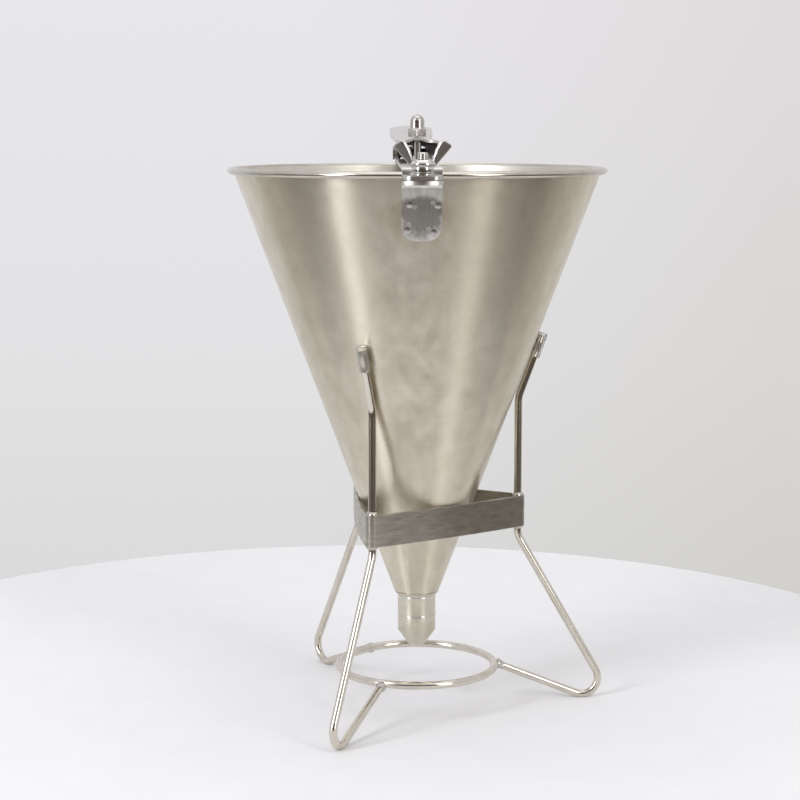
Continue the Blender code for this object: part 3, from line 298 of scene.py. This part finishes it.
FINISH = {
    "funnel_cone": SPUN, "outlet_collar": TURNED, "nozzle_tip": TURNED, "valve_plug": TURNED,
    "stand_band": BAND, "front_bracket": BRACKET, "rear_clevis": CLEVIS_PAINTED_SHADE,
    "bridge_strip": STRIP, "handle_strap": STRIP, "lever": LEVER, "wing_nut": CAST,
    "clamp_stud": BRIGHT, "clamp_washer": BRIGHT, "cap_nut": DOMED, "valve_rod": BRIGHT,
    "pivot_pin": SPRUNG_PAINTED_SHADE, "return_spring": SPRUNG_PAINTED_SHADE, "spring_post": SPRUNG_PAINTED_SHADE,
    "base_ring": WIRE,
}
for side in ("front", "right", "rear"):
    FINISH[f"leg_wire_{side}"] = WIRE
    FINISH[f"tip_sleeve_{side}"] = SLEEVE


# Making pieces

def set_material(piece, material):
    piece.data.materials.clear()
    piece.data.materials.append(material)


def new_piece(name, solid, material, smooth=40):
    """An object from a bmesh, shaded smooth but for edges over the angle."""
    bmesh.ops.recalc_face_normals(solid, faces=solid.faces)
    mesh = bpy.data.meshes.new(name)
    solid.to_mesh(mesh)
    solid.free()
    mesh.shade_smooth()
    mesh.set_sharp_from_angle(angle=math.radians(smooth))
    piece = bpy.data.objects.new(name, mesh)
    bpy.context.scene.collection.objects.link(piece)
    set_material(piece, material)
    return piece


def standing_for(piece, node):
    """The piece moves with a CAD node's body and stands for it."""
    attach(piece, body_of[node])
    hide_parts(node)
    return piece


def beside(piece, node):
    """The piece is a detail on a CAD node and moves with its body."""
    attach(piece, body_of[node])
    return piece


def copied(node, reshape=None):
    """A copy of a CAD node's mesh, its split edges joined, that can take modifiers."""
    solid = bmesh.new()
    solid.from_mesh(nodes[node].data)
    bmesh.ops.remove_doubles(solid, verts=solid.verts, dist=0.002 * MM)
    bmesh.ops.dissolve_limit(solid, angle_limit=math.radians(0.4), verts=solid.verts, edges=solid.edges)
    if reshape:
        reshape(solid)
    return standing_for(new_piece(node + "_dressed", solid, FINISH[node]), node)


def rounded(piece, width, segments=2, angle=40):
    """Rounds a piece's sharp edges off; the width is in millimetres."""
    bevel = piece.modifiers.new("edges", "BEVEL")
    bevel.width = width * MM
    bevel.segments = segments
    bevel.limit_method = "ANGLE"
    bevel.angle_limit = math.radians(angle)
    tidy = piece.modifiers.new("normals", "WEIGHTED_NORMAL")
    tidy.keep_sharp = False
    tidy.weight = 80
    return piece


def arc(centre, radius, start, end, steps):
    """Points of an arc between two angles in degrees."""
    turns = [math.radians(start + (end - start) * step / steps) for step in range(steps + 1)]
    return [(centre[0] + radius * math.cos(t), centre[1] + radius * math.sin(t)) for t in turns]


def polar(reach, angle, height):
    return Vector((reach * math.cos(angle), reach * math.sin(angle), height))


def lathe(profile, sides, closed=True, place=Matrix(), phase=0.0, wobble=None):
    """Turns (radius, height) points, in millimetres, about Z; a third value is a ring's number of flats."""
    solid = bmesh.new()
    rings = []
    for radius, height, *flats in profile:
        if radius == 0:
            rings.append([solid.verts.new((0, 0, height * MM))])
            continue
        ring = []
        for side in range(sides):
            turn = math.tau * side / sides
            reach = radius
            if flats:
                half = math.pi / flats[0]
                reach *= math.cos(half) / math.cos(turn % (2 * half) - half)
            if wobble:
                reach += wobble(turn, height)
            ring.append(solid.verts.new(polar(reach, turn + phase, height) * MM))
        rings.append(ring)
    pairs = list(zip(rings, rings[1:])) + ([(rings[-1], rings[0])] if closed else [])
    for lower, upper in pairs:
        if len(lower) == len(upper) == 1:
            continue
        for side in range(sides):
            ahead = (side + 1) % sides
            if len(lower) == 1:
                solid.faces.new((lower[0], upper[side], upper[ahead]))
            elif len(upper) == 1:
                solid.faces.new((lower[side], lower[ahead], upper[0]))
            else:
                solid.faces.new((lower[side], lower[ahead], upper[ahead], upper[side]))
    solid.transform(place)
    return solid


def skin(solid, rings):
    """Faces between neighbouring rings of as many vertices, and over both ends."""
    for lower, upper in zip(rings, rings[1:]):
        for side in range(len(lower)):
            ahead = (side + 1) % len(lower)
            solid.faces.new((lower[side], lower[ahead], upper[ahead], upper[side]))
    solid.faces.new(rings[0][::-1])
    solid.faces.new(rings[-1])


def at(x, y, z=0.0):
    """Matrix to a place given in millimetres from the funnel's axis."""
    return Matrix.Translation(AXIS + Vector((x, y, z)) * MM)


def pointing(way):
    """Matrix that turns +Z to a direction."""
    return Vector((0, 0, 1)).rotation_difference(Vector(way)).to_matrix().to_4x4()


def swept(points, radius, sides=20, lowest=None):
    """A round wire along points in millimetres from the funnel's axis, with domed ends."""
    solid = bmesh.new()
    points = [Vector(point) for point in points]
    ways = []
    for index in range(len(points)):
        before, after = points[max(index - 1, 0)], points[min(index + 1, len(points) - 1)]
        ways.append((after - before).normalized())
    spoke = ways[0].orthogonal().normalized()
    rings = []
    last = len(points) - 1
    dome, tip_share, end_share = 0.105, 0.72, 0.96       # as shares of the radius
    stations = [(0, -dome, tip_share), (0, 0.0, end_share)] + [(index, 0.0, 1.0) for index in range(1, last)]
    stations += [(last, 0.0, end_share), (last, dome, tip_share)]
    for index, shift, share in stations:
        way = ways[index]
        spoke = (spoke - way * spoke.dot(way)).normalized()
        across = way.cross(spoke)
        ring = []
        for side in range(sides):
            turn = math.tau * side / sides
            point = points[index] + way * shift * radius
            point = point + (spoke * math.cos(turn) + across * math.sin(turn)) * radius * share
            if lowest is not None:
                point.z = max(point.z, lowest)
            ring.append(solid.verts.new(AXIS + point * MM))
        rings.append(ring)
    skin(solid, rings)
    return solid


def bent(corners, radii, steps):
    """A polyline through corners, each inner corner rounded to its radius."""
    points = [Vector(corners[0])]
    for before, corner, after, radius in zip(corners, corners[1:], corners[2:], radii):
        corner = Vector(corner)
        back = (Vector(before) - corner).normalized()
        ahead = (Vector(after) - corner).normalized()
        half = back.angle(ahead) / 2
        tangent = radius / math.tan(half)
        start, end = corner + back * tangent, corner + ahead * tangent
        centre = corner + (back + ahead).normalized() * radius / math.sin(half)
        sweep = math.pi - 2 * half
        for step in range(steps + 1):
            share = step / steps
            fading, growing = (math.sin(part * sweep) / math.sin(sweep) for part in (1 - share, share))
            points.append(centre + (start - centre) * fading + (end - centre) * growing)
    points.append(Vector(corners[-1]))
    return points


# Sizes shared with the solids, in millimetres from the funnel's axis

RIM_RADIUS, RIM_HEIGHT, BEAD, WALL_IN_BEAD = 95.0, 274.4, 1.75, 0.5
NECK_RADIUS, NECK_HEIGHT, WALL = 11.5, 59.5, 0.85
SLOPE = (RIM_RADIUS - 2 * BEAD + WALL_IN_BEAD - NECK_RADIUS) / (RIM_HEIGHT - NECK_HEIGHT)
LEAN = math.atan(SLOPE)
WIRE_RADIUS, GAP = 2.0, 0.3
RING_RADIUS, RING_HEIGHT = 40.2, 19.8
WAIST_RADIUS, BAND_LOW, BAND_HIGH = 52.2, 92.2, 108.3
AZIMUTHS = {"front": -26.0, "right": 94.0, "rear": 214.0}
STUD_REACH, NUT_BASE, CAP_BASE = 104.0, 275.85, 291.0
COLLAR_RADIUS = 9.7
SLEEVE_WALL, SLEEVE_END, SLEEVE_LENGTH = 0.5, 0.9, 13.0
PLATE, STRAP = 1.9, 2.0                          # thickness of the bracket's plate and of the handle strap


def cone_radius(height):
    return NECK_RADIUS + SLOPE * (height - NECK_HEIGHT)


def outward(azimuth):
    return Vector((math.sin(math.radians(azimuth)), -math.cos(math.radians(azimuth)), 0))


for name, material in FINISH.items():
    set_material(nodes[name], material)


# Funnel: spun cone with its rolled bead

def make_cone():
    """Cone from its outer wall over the bead, which thins outwards, to its inner wall."""
    across = WALL / math.cos(LEAN)
    thinning = 0.25
    bead = [(RIM_RADIUS - BEAD + x, RIM_HEIGHT + z * (1 - thinning * max(x / BEAD, 0)))
            for x, z in arc((0, 0), BEAD, 200, 520, 30)]
    outer = [(cone_radius(z), z) for z in (NECK_HEIGHT, 62, 70, 100, 140, 180, 220, 260, 270)]
    top = bead[-1][1]
    inner = [(cone_radius(z) - across, z) for z in (top, 268, 240, 200, 160, 120, 80, 64, NECK_HEIGHT)]
    solid = lathe(outer + bead + inner, 192, place=at(0, 0))
    cone = standing_for(new_piece("spun_cone", solid, SPUN, 50), "funnel_cone")
    cone.data.materials.append(BEADED)
    cone.data.materials.append(SATIN)
    for face in cone.data.polygons:
        middle = (face.center - AXIS) / MM
        wall = cone_radius(middle.z) - across / 2
        if middle.z > RIM_HEIGHT - BEAD * 0.9 and middle.xy.length > RIM_RADIUS - 2 * BEAD - 0.3:
            face.material_index = 1
        elif middle.xy.length < wall:
            face.material_index = 2


def make_lips():
    """Polished lips at the collar's shoulder and over the joint of the tip."""
    inner, shoulder, outer = COLLAR_RADIUS - 0.3, COLLAR_RADIUS + 0.08, COLLAR_RADIUS + 0.16
    rise, chamfer = 0.6, 0.15
    for name, low in (("upper", 56.3), ("lower", 46.55)):
        high = low + rise
        section = [(inner, low), (shoulder, low), (outer, low + chamfer),
                   (outer, high - chamfer), (shoulder, high), (inner, high)]
        lip = new_piece(f"collar_lip_{name}", lathe(section, 96, place=at(0, 0)), BRIGHT, 60)
        beside(lip, "outlet_collar")


make_cone()
make_lips()
rounded(copied("outlet_collar"), 0.20)
rounded(copied("nozzle_tip"), 0.25)


# Stand: wires, ring, welds and soft sleeves

def leg_route():
    """Centre line of a leg in (radius, height), from its butt on the ring up to its tip."""
    reach, foot, waist_height, lean_rise = 95.3, 1.6, 87.5, 31.7
    foot_bend, waist_bend, shoulder_bend = 8.5, 12.0, 15.0
    bend = Vector((reach - foot_bend, foot + foot_bend))
    ring = Vector((RING_RADIUS, RING_HEIGHT))
    waist = Vector((WAIST_RADIUS, waist_height))
    inward, upward = bend - ring, waist - bend
    inner = math.atan2(inward.y, inward.x) - math.asin(foot_bend / inward.length)
    outer = math.atan2(upward.y, upward.x) + math.asin(foot_bend / upward.length)
    way = Vector((math.cos(inner), math.sin(inner)))
    butt = ring + way * (WIRE_RADIUS + GAP)
    foot_arc = arc(bend, foot_bend, math.degrees(inner) - 90, math.degrees(outer) - 90, 26)
    offset = (WIRE_RADIUS + 2 * GAP + SLEEVE_WALL) / math.cos(LEAN)
    shoulder = NECK_HEIGHT + (WAIST_RADIUS - offset - NECK_RADIUS) / SLOPE
    tip = cone_radius(shoulder + lean_rise) + offset, shoulder + lean_rise
    upper = bent([foot_arc[-1], waist, (WAIST_RADIUS, shoulder), tip], (waist_bend, shoulder_bend), 14)
    return [tuple(butt)] + foot_arc + [tuple(point) for point in upper[1:]], way, tip


def lumpy(size, seed):
    """Small unevenness of a weld, the same in every run."""
    def wobble(turn, height):
        return size * (math.sin(3 * turn + seed) + 0.6 * math.sin(5 * turn + 2.1 * seed + 3 * height))
    return wobble


def make_legs():
    """Leg wires with their welds to the ring and the band."""
    fillet = [(0, -1.3), (1.6, -1.2), (2.6, -0.7), (2.75, 0.1), (2.5, 0.9), (2.18, 2.0), (2.02, 3.0)]
    beadlet = [(2.05, 1.5), (2.4, 1.25), (2.95, 0.6), (3.15, 0.0), (2.9, -0.5), (2.2, -0.8)]
    route, butt_way, tip = leg_route()
    for side, azimuth in AZIMUTHS.items():
        way = outward(azimuth)
        node = f"leg_wire_{side}"
        points = [way * radius + Vector((0, 0, height)) for radius, height in route]
        standing_for(new_piece(f"wire_{side}", swept(points, WIRE_RADIUS, lowest=0.0), WIRE, 60), node)
        joint = way * route[0][0] + Vector((0, 0, route[0][1]))
        along = way * butt_way.x + Vector((0, 0, butt_way.y))
        place = at(*joint) @ pointing(along)
        solid = lathe(fillet, 24, closed=False, place=place, wobble=lumpy(0.07, azimuth))
        beside(new_piece(f"ring_weld_{side}", solid, WELD, 60), "base_ring")
        for level, name, sign in ((BAND_HIGH, "upper", 1), (BAND_LOW, "lower", -1)):
            turned = [(radius, sign * height) for radius, height in beadlet]
            place = at(way.x * WAIST_RADIUS, way.y * WAIST_RADIUS, level)
            solid = lathe(turned, 24, closed=False, place=place, wobble=lumpy(0.1, azimuth + sign))
            beside(new_piece(f"band_weld_{name}_{side}", solid, WELD, 60), "stand_band")
        make_sleeve(side, way, tip)


def make_sleeve(side, way, tip):
    """Soft sleeve over a leg's tip, closed and domed at its end."""
    inside, outside, top = WIRE_RADIUS + GAP, WIRE_RADIUS + GAP + SLEEVE_WALL, GAP + SLEEVE_END
    mouth = top - SLEEVE_LENGTH
    profile = [(inside, mouth + 0.1), (inside + 0.25, mouth), (outside, mouth + 0.2), (outside, top - 8),
               (outside, top - 3), *arc((outside - SLEEVE_END, GAP), SLEEVE_END, 0, 90, 6), (0, top),
               (0, GAP), (inside - 0.4, GAP), (inside, GAP - 0.4), (inside, top - 8)]
    lean = way * math.sin(LEAN) + Vector((0, 0, math.cos(LEAN)))
    place = at(*(way * tip[0] + Vector((0, 0, tip[1])))) @ pointing(lean)
    solid = lathe(profile, 32, place=place)
    standing_for(new_piece(f"sleeve_{side}", solid, SLEEVE, 60), f"tip_sleeve_{side}")


def make_ring():
    section = arc((RING_RADIUS, RING_HEIGHT), WIRE_RADIUS, 0, 345, 23)
    standing_for(new_piece("ring_wire", lathe(section, 144, place=at(0, 0)), WIRE, 60), "base_ring")


make_ring()
make_legs()
rounded(copied("stand_band"), 0.25)


# Front bracket with its spot welds, stud and wing nut

def plate_place(x, height, thickness, side=-1):
    """Matrix on the outer face of a plate that lies along the cone, its Z pointing outwards."""
    reach = cone_radius(height) + (GAP + thickness) / math.cos(LEAN)
    normal = (0, side * math.cos(LEAN), -math.sin(LEAN))
    return at(x, side * reach, height) @ pointing(normal)


def make_spot_welds():
    """Raised spots and pressed rings on the bracket, and rings on the handle's plates."""
    bumps = [(0, 0.22), (0.4, 0.21), (0.8, 0.16), (1.2, 0.09), (1.5, 0.03), (1.8, -0.05)]
    rings = [(0, 0.01), (0.45, 0.01), (0.7, 0.03), (0.95, 0.06), (1.15, 0.03), (1.35, -0.05)]
    marks = [(-5.6, 260.9, bumps), (7.4, 260.6, bumps), (-6.6, 249.0, bumps), (5.6, 248.0, bumps),
             (-3.2, 259.9, rings), (5.2, 262.0, rings), (-5.9, 252.0, rings), (3.3, 250.0, rings)]
    for index, (x, height, profile) in enumerate(marks):
        solid = lathe(profile, 28, closed=False, place=plate_place(x, height, PLATE))
        beside(new_piece(f"spot_weld_{index + 1}", solid, SPOT, 60), "front_bracket")
    pairs = [(x, height) for height in (264, 252, 184) for x in (-7, 7)]
    for index, (x, height) in enumerate([*pairs, (0, 175)]):
        solid = lathe(rings, 20, closed=False, place=plate_place(x, height, STRAP, 1))
        beside(new_piece(f"handle_weld_{index + 1}", solid, STRIP, 60), "handle_strap")


def make_stud():
    """Threaded stud: a helical ridge, chamfered at its end."""
    pitch, sides, rows = 0.8, 36, 8                  # rows for each turn of the thread
    low, top = 270.6, 285.0
    core, crest, end = 2.02, 0.46, 1.9
    solid = bmesh.new()
    rings = []
    count = int((top - low) / pitch * rows)
    for row in range(count + 1):
        height = low + (top - low) * row / count
        ring = []
        for side in range(sides):
            share = (height / pitch - side / sides) % 1
            ridge = abs(share - 0.5) * 2
            reach = core + crest * min(max(1.25 * ridge - 0.12, 0), 1)
            reach = min(reach, end + (top - height) * 0.9)
            ring.append(solid.verts.new(polar(reach, math.tau * side / sides, height) * MM))
        rings.append(ring)
    skin(solid, rings)
    solid.transform(at(0, -STUD_REACH))
    standing_for(new_piece("threaded_stud", solid, BRIGHT, 70), "clamp_stud")


def make_wing_nut():
    """Cast wing nut: turned hub, and two flat wings with rounded edges.

    A wing's corners are (reach, height, radius, width of the bevel there), and the levels across its
    thickness are (place, share of the bevel).
    """
    hub = [(2.8, 0.3), (3.1, 0.0), (4.85, 0.0), (5.1, 0.25), (5.1, 2.3), (5.0, 2.6), (5.25, 2.9), (5.75, 3.2),
           (5.95, 3.7), (5.85, 4.3), (5.4, 5.0), (4.8, 5.6), (4.2, 5.95), (3.2, 6.0), (2.8, 5.6)]
    place = at(0, -STUD_REACH, NUT_BASE)
    standing_for(new_piece("wing_nut_hub", lathe(hub, 48, place=place), HUB, 50), "wing_nut")
    corners = [(3.7, 2.8, 0.3, 0.3), (5.5, 2.8, 0.5, 0.3), (13.4, 12.1, 1.0, 0.35), (9.9, 14.6, 0.8, 0.5),
               (7.9, 14.3, 0.8, 1.15), (5.6, 10.4, 3.0, 1.3), (4.7, 7.2, 2.0, 0.85), (4.3, 5.5, 0.2, 0.6)]
    outline = [corner[:2] for corner in corners]
    points, bevels = [], []
    for index, (x, z, radius, bevel) in enumerate(corners):
        trio = [outline[index - 1], (x, z), outline[(index + 1) % len(outline)]]
        curve = bent(trio, [radius], 6)[1:-1]
        points += curve
        bevels += [bevel] * len(curve)
    levels = [(-0.95, 1.1), (-0.95, 1.0), (-0.90, 0.85), (-0.72, 0.5), (-0.45, 0.15), (-0.2, 0.0)]
    levels += [(-depth, inset) for depth, inset in levels[::-1]]
    for name, sign in (("right", 1), ("left", -1)):
        solid = bmesh.new()
        rings = []
        for depth, inset in levels:
            ring = []
            for index, point in enumerate(points):
                along = (points[(index + 1) % len(points)] - points[index - 1]).normalized()
                inner = point + Vector((-along.y, along.x)) * bevels[index] * inset
                ring.append(solid.verts.new((sign * inner.x * MM, depth * MM, inner.y * MM)))
            rings.append(ring)
        skin(solid, rings)
        solid.transform(place)
        wing = beside(new_piece(f"wing_{name}", solid, CAST, 50), "wing_nut")
        # The bevels take the lighter steel, a painted highlight along the wings' edges.
        wing.data.materials.append(RIDGE_PAINTED_HIGHLIGHT)
        for face in wing.data.polygons:
            if abs(face.normal.y) < 0.985:
                face.material_index = 1


def bow_flange(solid):
    """Bows the flange's free edge in plan, its corners a little behind its middle."""
    edge = (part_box("front_bracket")[0][1] - AXIS.y) / MM
    bow, depth, slices, pace = 13.0, 4.0, 6, 1.4     # the bow's radius and how far back it fades
    for step in range(-slices, slices + 1):
        faces = [face for face in solid.faces if min(v.co.y for v in face.verts) < AXIS.y + (edge + 0.5) * MM]
        near = set(faces)
        for face in faces:
            near.update(face.edges)
            near.update(face.verts)
        place = AXIS + Vector((step * pace * MM, 0, 0))
        bmesh.ops.bisect_plane(solid, geom=list(near), plane_co=place, plane_no=(1, 0, 0))
    for vert in solid.verts:
        x, y = (vert.co.x - AXIS.x) / MM, (vert.co.y - AXIS.y) / MM
        share = min(max((edge + depth - y) / depth, 0), 1)
        vert.co.y += share * x * x / (2 * bow) * MM


make_spot_welds()
make_stud()
make_wing_nut()
rounded(copied("front_bracket", bow_flange), 0.6, 3, 50)
rounded(copied("clamp_washer"), 0.15)
rounded(copied("bridge_strip"), 0.35, 3)


# Lever, handle and rod

def make_cap_nut():
    """Domed cap nut: chamfered hexagon below, collar and ball end above."""
    phase = math.radians(26)
    bore, flat, corner, dome, top = 2.4, 4.5, 5.2, 3.6, 11.1
    profile = [(bore, 0), (flat, 0), (corner, 0.45, 6), (corner, 3.75, 6), (flat, 4.2), (dome + 0.1, 4.35),
               (dome, 4.6), *arc((0, top - dome), dome, 0, 88, 20), (0, top), (0, 6.6), (bore, 5.4)]
    solid = lathe(profile, 72, place=at(0, 0, CAP_BASE), phase=phase)
    rounded(standing_for(new_piece("domed_nut", solid, DOMED, 50), "cap_nut"), 0.12, 2, 50)


def make_spring():
    """Wound spring on its post, with smooth turns."""
    low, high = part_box("return_spring")
    wire, coil, turns, steps = 0.5, 4.0, 6, 28
    start, end = low[2] / MM + wire, high[2] / MM - wire
    centre_y = (low[1] + high[1]) / 2 / MM - AXIS.y / MM
    points = []
    for step in range(turns * steps + 1):
        height = start + (end - start) * step / (turns * steps)
        points.append(polar(coil, math.tau * step / steps, height) + Vector((0, centre_y, 0)))
    spring = standing_for(new_piece("wound_spring", swept(points, wire, 12), SPRUNG_PAINTED_SHADE, 60), "return_spring")
    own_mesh(spring)


def flare_sides(solid):
    """Lets the lever's folded sides follow its widening front, as they do on a folded channel."""
    outer, sheet, front, rear, flare = 8.0, 1.2, -4.0, 92.0, 2.2
    near, straight = 0.02, 2.0
    for vert in solid.verts:
        x, y = (vert.co.x - AXIS.x) / MM, (vert.co.y - AXIS.y) / MM
        on_side = min(abs(abs(x) - outer), abs(abs(x) - outer + sheet)) < near
        if on_side and y < rear - straight:
            vert.co.x += math.copysign(flare * min((rear - y) / (rear - front), 1) * MM, x)


def dress_lever():
    """Lever whose folded arm's inside faces carry painted shade: a dull, near-black steel."""
    arm_base, arm_rear = CAP_BASE - 3.2, 112
    lever = copied("lever", flare_sides)
    lever.data.materials.append(UNDER_PAINTED_SHADE)
    for face in lever.data.polygons:
        middle = (face.center - AXIS) / MM
        below = middle.z < arm_base and middle.y < arm_rear
        inwards = face.normal.x * middle.x < 0 and abs(face.normal.x) > 0.6
        if below and (face.normal.z < -0.25 or inwards):
            face.material_index = 1
    rounded(lever, 0.25, 2)


make_cap_nut()
make_spring()
dress_lever()
rounded(copied("rear_clevis"), 0.25)
rounded(copied("handle_strap"), 0.45, 3)
rounded(copied("pivot_pin"), 0.2, 3)


# Stage

def surface(name, low, high):
    """Dull surface, clouded between two colours."""
    material, tree, shader = new_material(name)
    shader.inputs["Roughness"].default_value = 0.85
    shader.inputs["Specular IOR Level"].default_value = 0.2
    grain = noise(tree, (30, 30, 30), 3)
    tint = ramp(tree, grain, "Fac", [(0.3, low), (0.7, high)])
    link(tree, tint, "Color", shader, "Base Color")
    return material


def on_stage(name, corners, faces, material):
    mesh = bpy.data.meshes.new(name)
    mesh.from_pydata(corners, [], faces)
    piece = bpy.data.objects.new(name, mesh)
    bpy.context.scene.collection.objects.link(piece)
    set_material(piece, material)


def make_table():
    """Table top, round behind the object and longer towards the camera."""
    centre, radius, front, sides, thick = AXIS + Vector((-0.028, 0.045, 0)), 0.333, 0.425, 180, 0.022
    ring = []
    for side in range(sides):
        turn = math.tau * side / sides
        depth = radius if turn < math.pi else front
        ring.append((centre.x + radius * math.cos(turn), centre.y + depth * math.sin(turn)))
    corners = [(x, y, 0) for x, y in ring] + [(x, y, -thick) for x, y in ring]
    faces = [tuple(range(sides)), tuple(range(2 * sides - 1, sides - 1, -1))]
    faces += [(i, i + sides, (i + 1) % sides + sides, (i + 1) % sides) for i in range(sides)]
    on_stage("table", corners, faces, surface("table_white", (0.80, 0.795, 0.80), (0.82, 0.815, 0.82)))


def make_backdrop():
    """Pale wall whose own brightness falls a little towards its lower right."""
    material, tree, shader = new_material("backdrop_pale")
    coords = add(tree, "ShaderNodeTexCoord")
    split = add(tree, "ShaderNodeSeparateXYZ")
    link(tree, coords, "Object", split, "Vector")
    across = ramp(tree, ranged(tree, split, "X", -0.1, 0.5, 0.0, 1.0), "Result",
                  [(0.0, (1.0, 1.0, 1.0)), (1.0, (0.91, 0.90, 0.865))])
    upward = ramp(tree, ranged(tree, split, "Z", -0.6, 1.0, 0.0, 1.0), "Result",
                  [(0.1, (0.68, 0.68, 0.68)), (0.375, (0.765, 0.76, 0.775)), (0.656, (0.81, 0.795, 0.835))])
    colour = multiplied(tree, upward.outputs["Color"], across.outputs["Color"])
    light = add(tree, "ShaderNodeEmission")
    tree.links.new(colour, light.inputs["Color"])
    output = next(node for node in tree.nodes if node.type == "OUTPUT_MATERIAL")
    tree.links.new(light.outputs["Emission"], output.inputs["Surface"])
    tree.nodes.remove(shader)
    corners = [(-2.2, 1.5, -1.2), (2.2, 1.5, -1.2), (2.2, 1.5, 2.2), (-2.2, 1.5, 2.2)]
    on_stage("backdrop", corners, [(0, 1, 2, 3)], material)


def make_world():
    """Pale room, paler above, with a dark hollow on the camera's side round the horizon and below."""
    world = bpy.data.worlds.new("studio")
    bpy.context.scene.world = world
    world.use_nodes = True
    tree = world.node_tree
    background = tree.nodes["Background"]
    coords = add(tree, "ShaderNodeTexCoord")
    split = add(tree, "ShaderNodeSeparateXYZ")
    link(tree, coords, "Generated", split, "Vector")
    room = ramp(tree, ranged(tree, split, "Z", -1, 1, 0, 1), "Result",
                [(0.0, (0.46, 0.445, 0.41)), (0.2, (0.44, 0.425, 0.395)), (0.4, (0.46, 0.45, 0.43)),
                 (0.52, (0.70, 0.70, 0.72)), (1.0, (0.78, 0.78, 0.81))])
    widening = ranged(tree, split, "Z", -0.20, 0.04, 0.75, 0.0, True)
    forward = computed(tree, "SUBTRACT", (split, "Y"), (widening, "Result"))
    front = ranged(tree, forward, "Value", -0.80, -0.40, 1.0, 0.0, True)
    wide = ranged(tree, split, "Z", -0.78, -0.48, 0.0, 1.0, True)
    deep = ranged(tree, split, "Z", -0.97, -0.72, 0.0, 1.0, True)
    narrow = ranged(tree, computed(tree, "ABSOLUTE", (split, "X")), "Value", 0.22, 0.42, 1.0, 0.0, True)
    middle = computed(tree, "MULTIPLY", (deep, "Result"), (narrow, "Result"))
    below = computed(tree, "MAXIMUM", (wide, "Result"), (middle, "Value"))
    above = ranged(tree, split, "Z", 0.35, 0.75, 1.0, 0.0, True)
    level = multiplied(tree, below.outputs["Value"], above.outputs["Result"])
    hollow = multiplied(tree, front.outputs["Result"], level)
    shade = add(tree, "ShaderNodeMix", data_type="RGBA")
    tree.links.new(hollow, shade.inputs["Factor"])
    shade.inputs[6].default_value = (1, 1, 1, 1)
    shade.inputs[7].default_value = (0.19, 0.15, 0.125, 1)
    tree.links.new(multiplied(tree, room.outputs["Color"], shade.outputs[2]), background.inputs["Color"])


def softbox(name, place, aim, size, power, colour=(1, 1, 1)):
    light = bpy.data.lights.new(name, "AREA")
    light.shape = "RECTANGLE"
    light.size, light.size_y = size
    light.energy = power
    light.color = colour
    lamp = bpy.data.objects.new(name, light)
    bpy.context.scene.collection.objects.link(lamp)
    lamp.location = place
    lamp.rotation_euler = (Vector(aim) - Vector(place)).to_track_quat("-Z", "Y").to_euler()
    lamp.visible_camera = False


def make_camera():
    """Camera fitted to the photograph."""
    data = bpy.data.cameras.new("camera")
    data.sensor_width = 36
    data.lens = 88.5
    data.clip_start = 0.05
    camera = bpy.data.objects.new("camera", data)
    bpy.context.scene.collection.objects.link(camera)
    camera.location = (-0.0253, -1.0163, 0.2993)
    tilt, turn = math.radians(-8.1), -0.0158
    camera.rotation_euler = (math.pi / 2 + tilt, 0.0, turn)
    bpy.context.scene.camera = camera


make_table()
make_backdrop()
make_world()
softbox("window_left", (-1.16, -0.98, 0.72), (0, 0, 0.25), (0.30, 1.5), 14.3, (0.96, 0.98, 1.04))
softbox("window_right", (0.98, -1.20, 0.72), (0, 0, 0.25), (0.45, 1.4), 9.1, (1.0, 0.99, 0.97))
softbox("overhead", (0.0, 0.1, 1.9), (0, 0.0, 0), (1.6, 1.6), 6)
make_camera()
bpy.context.scene.view_settings.view_transform = "Standard"
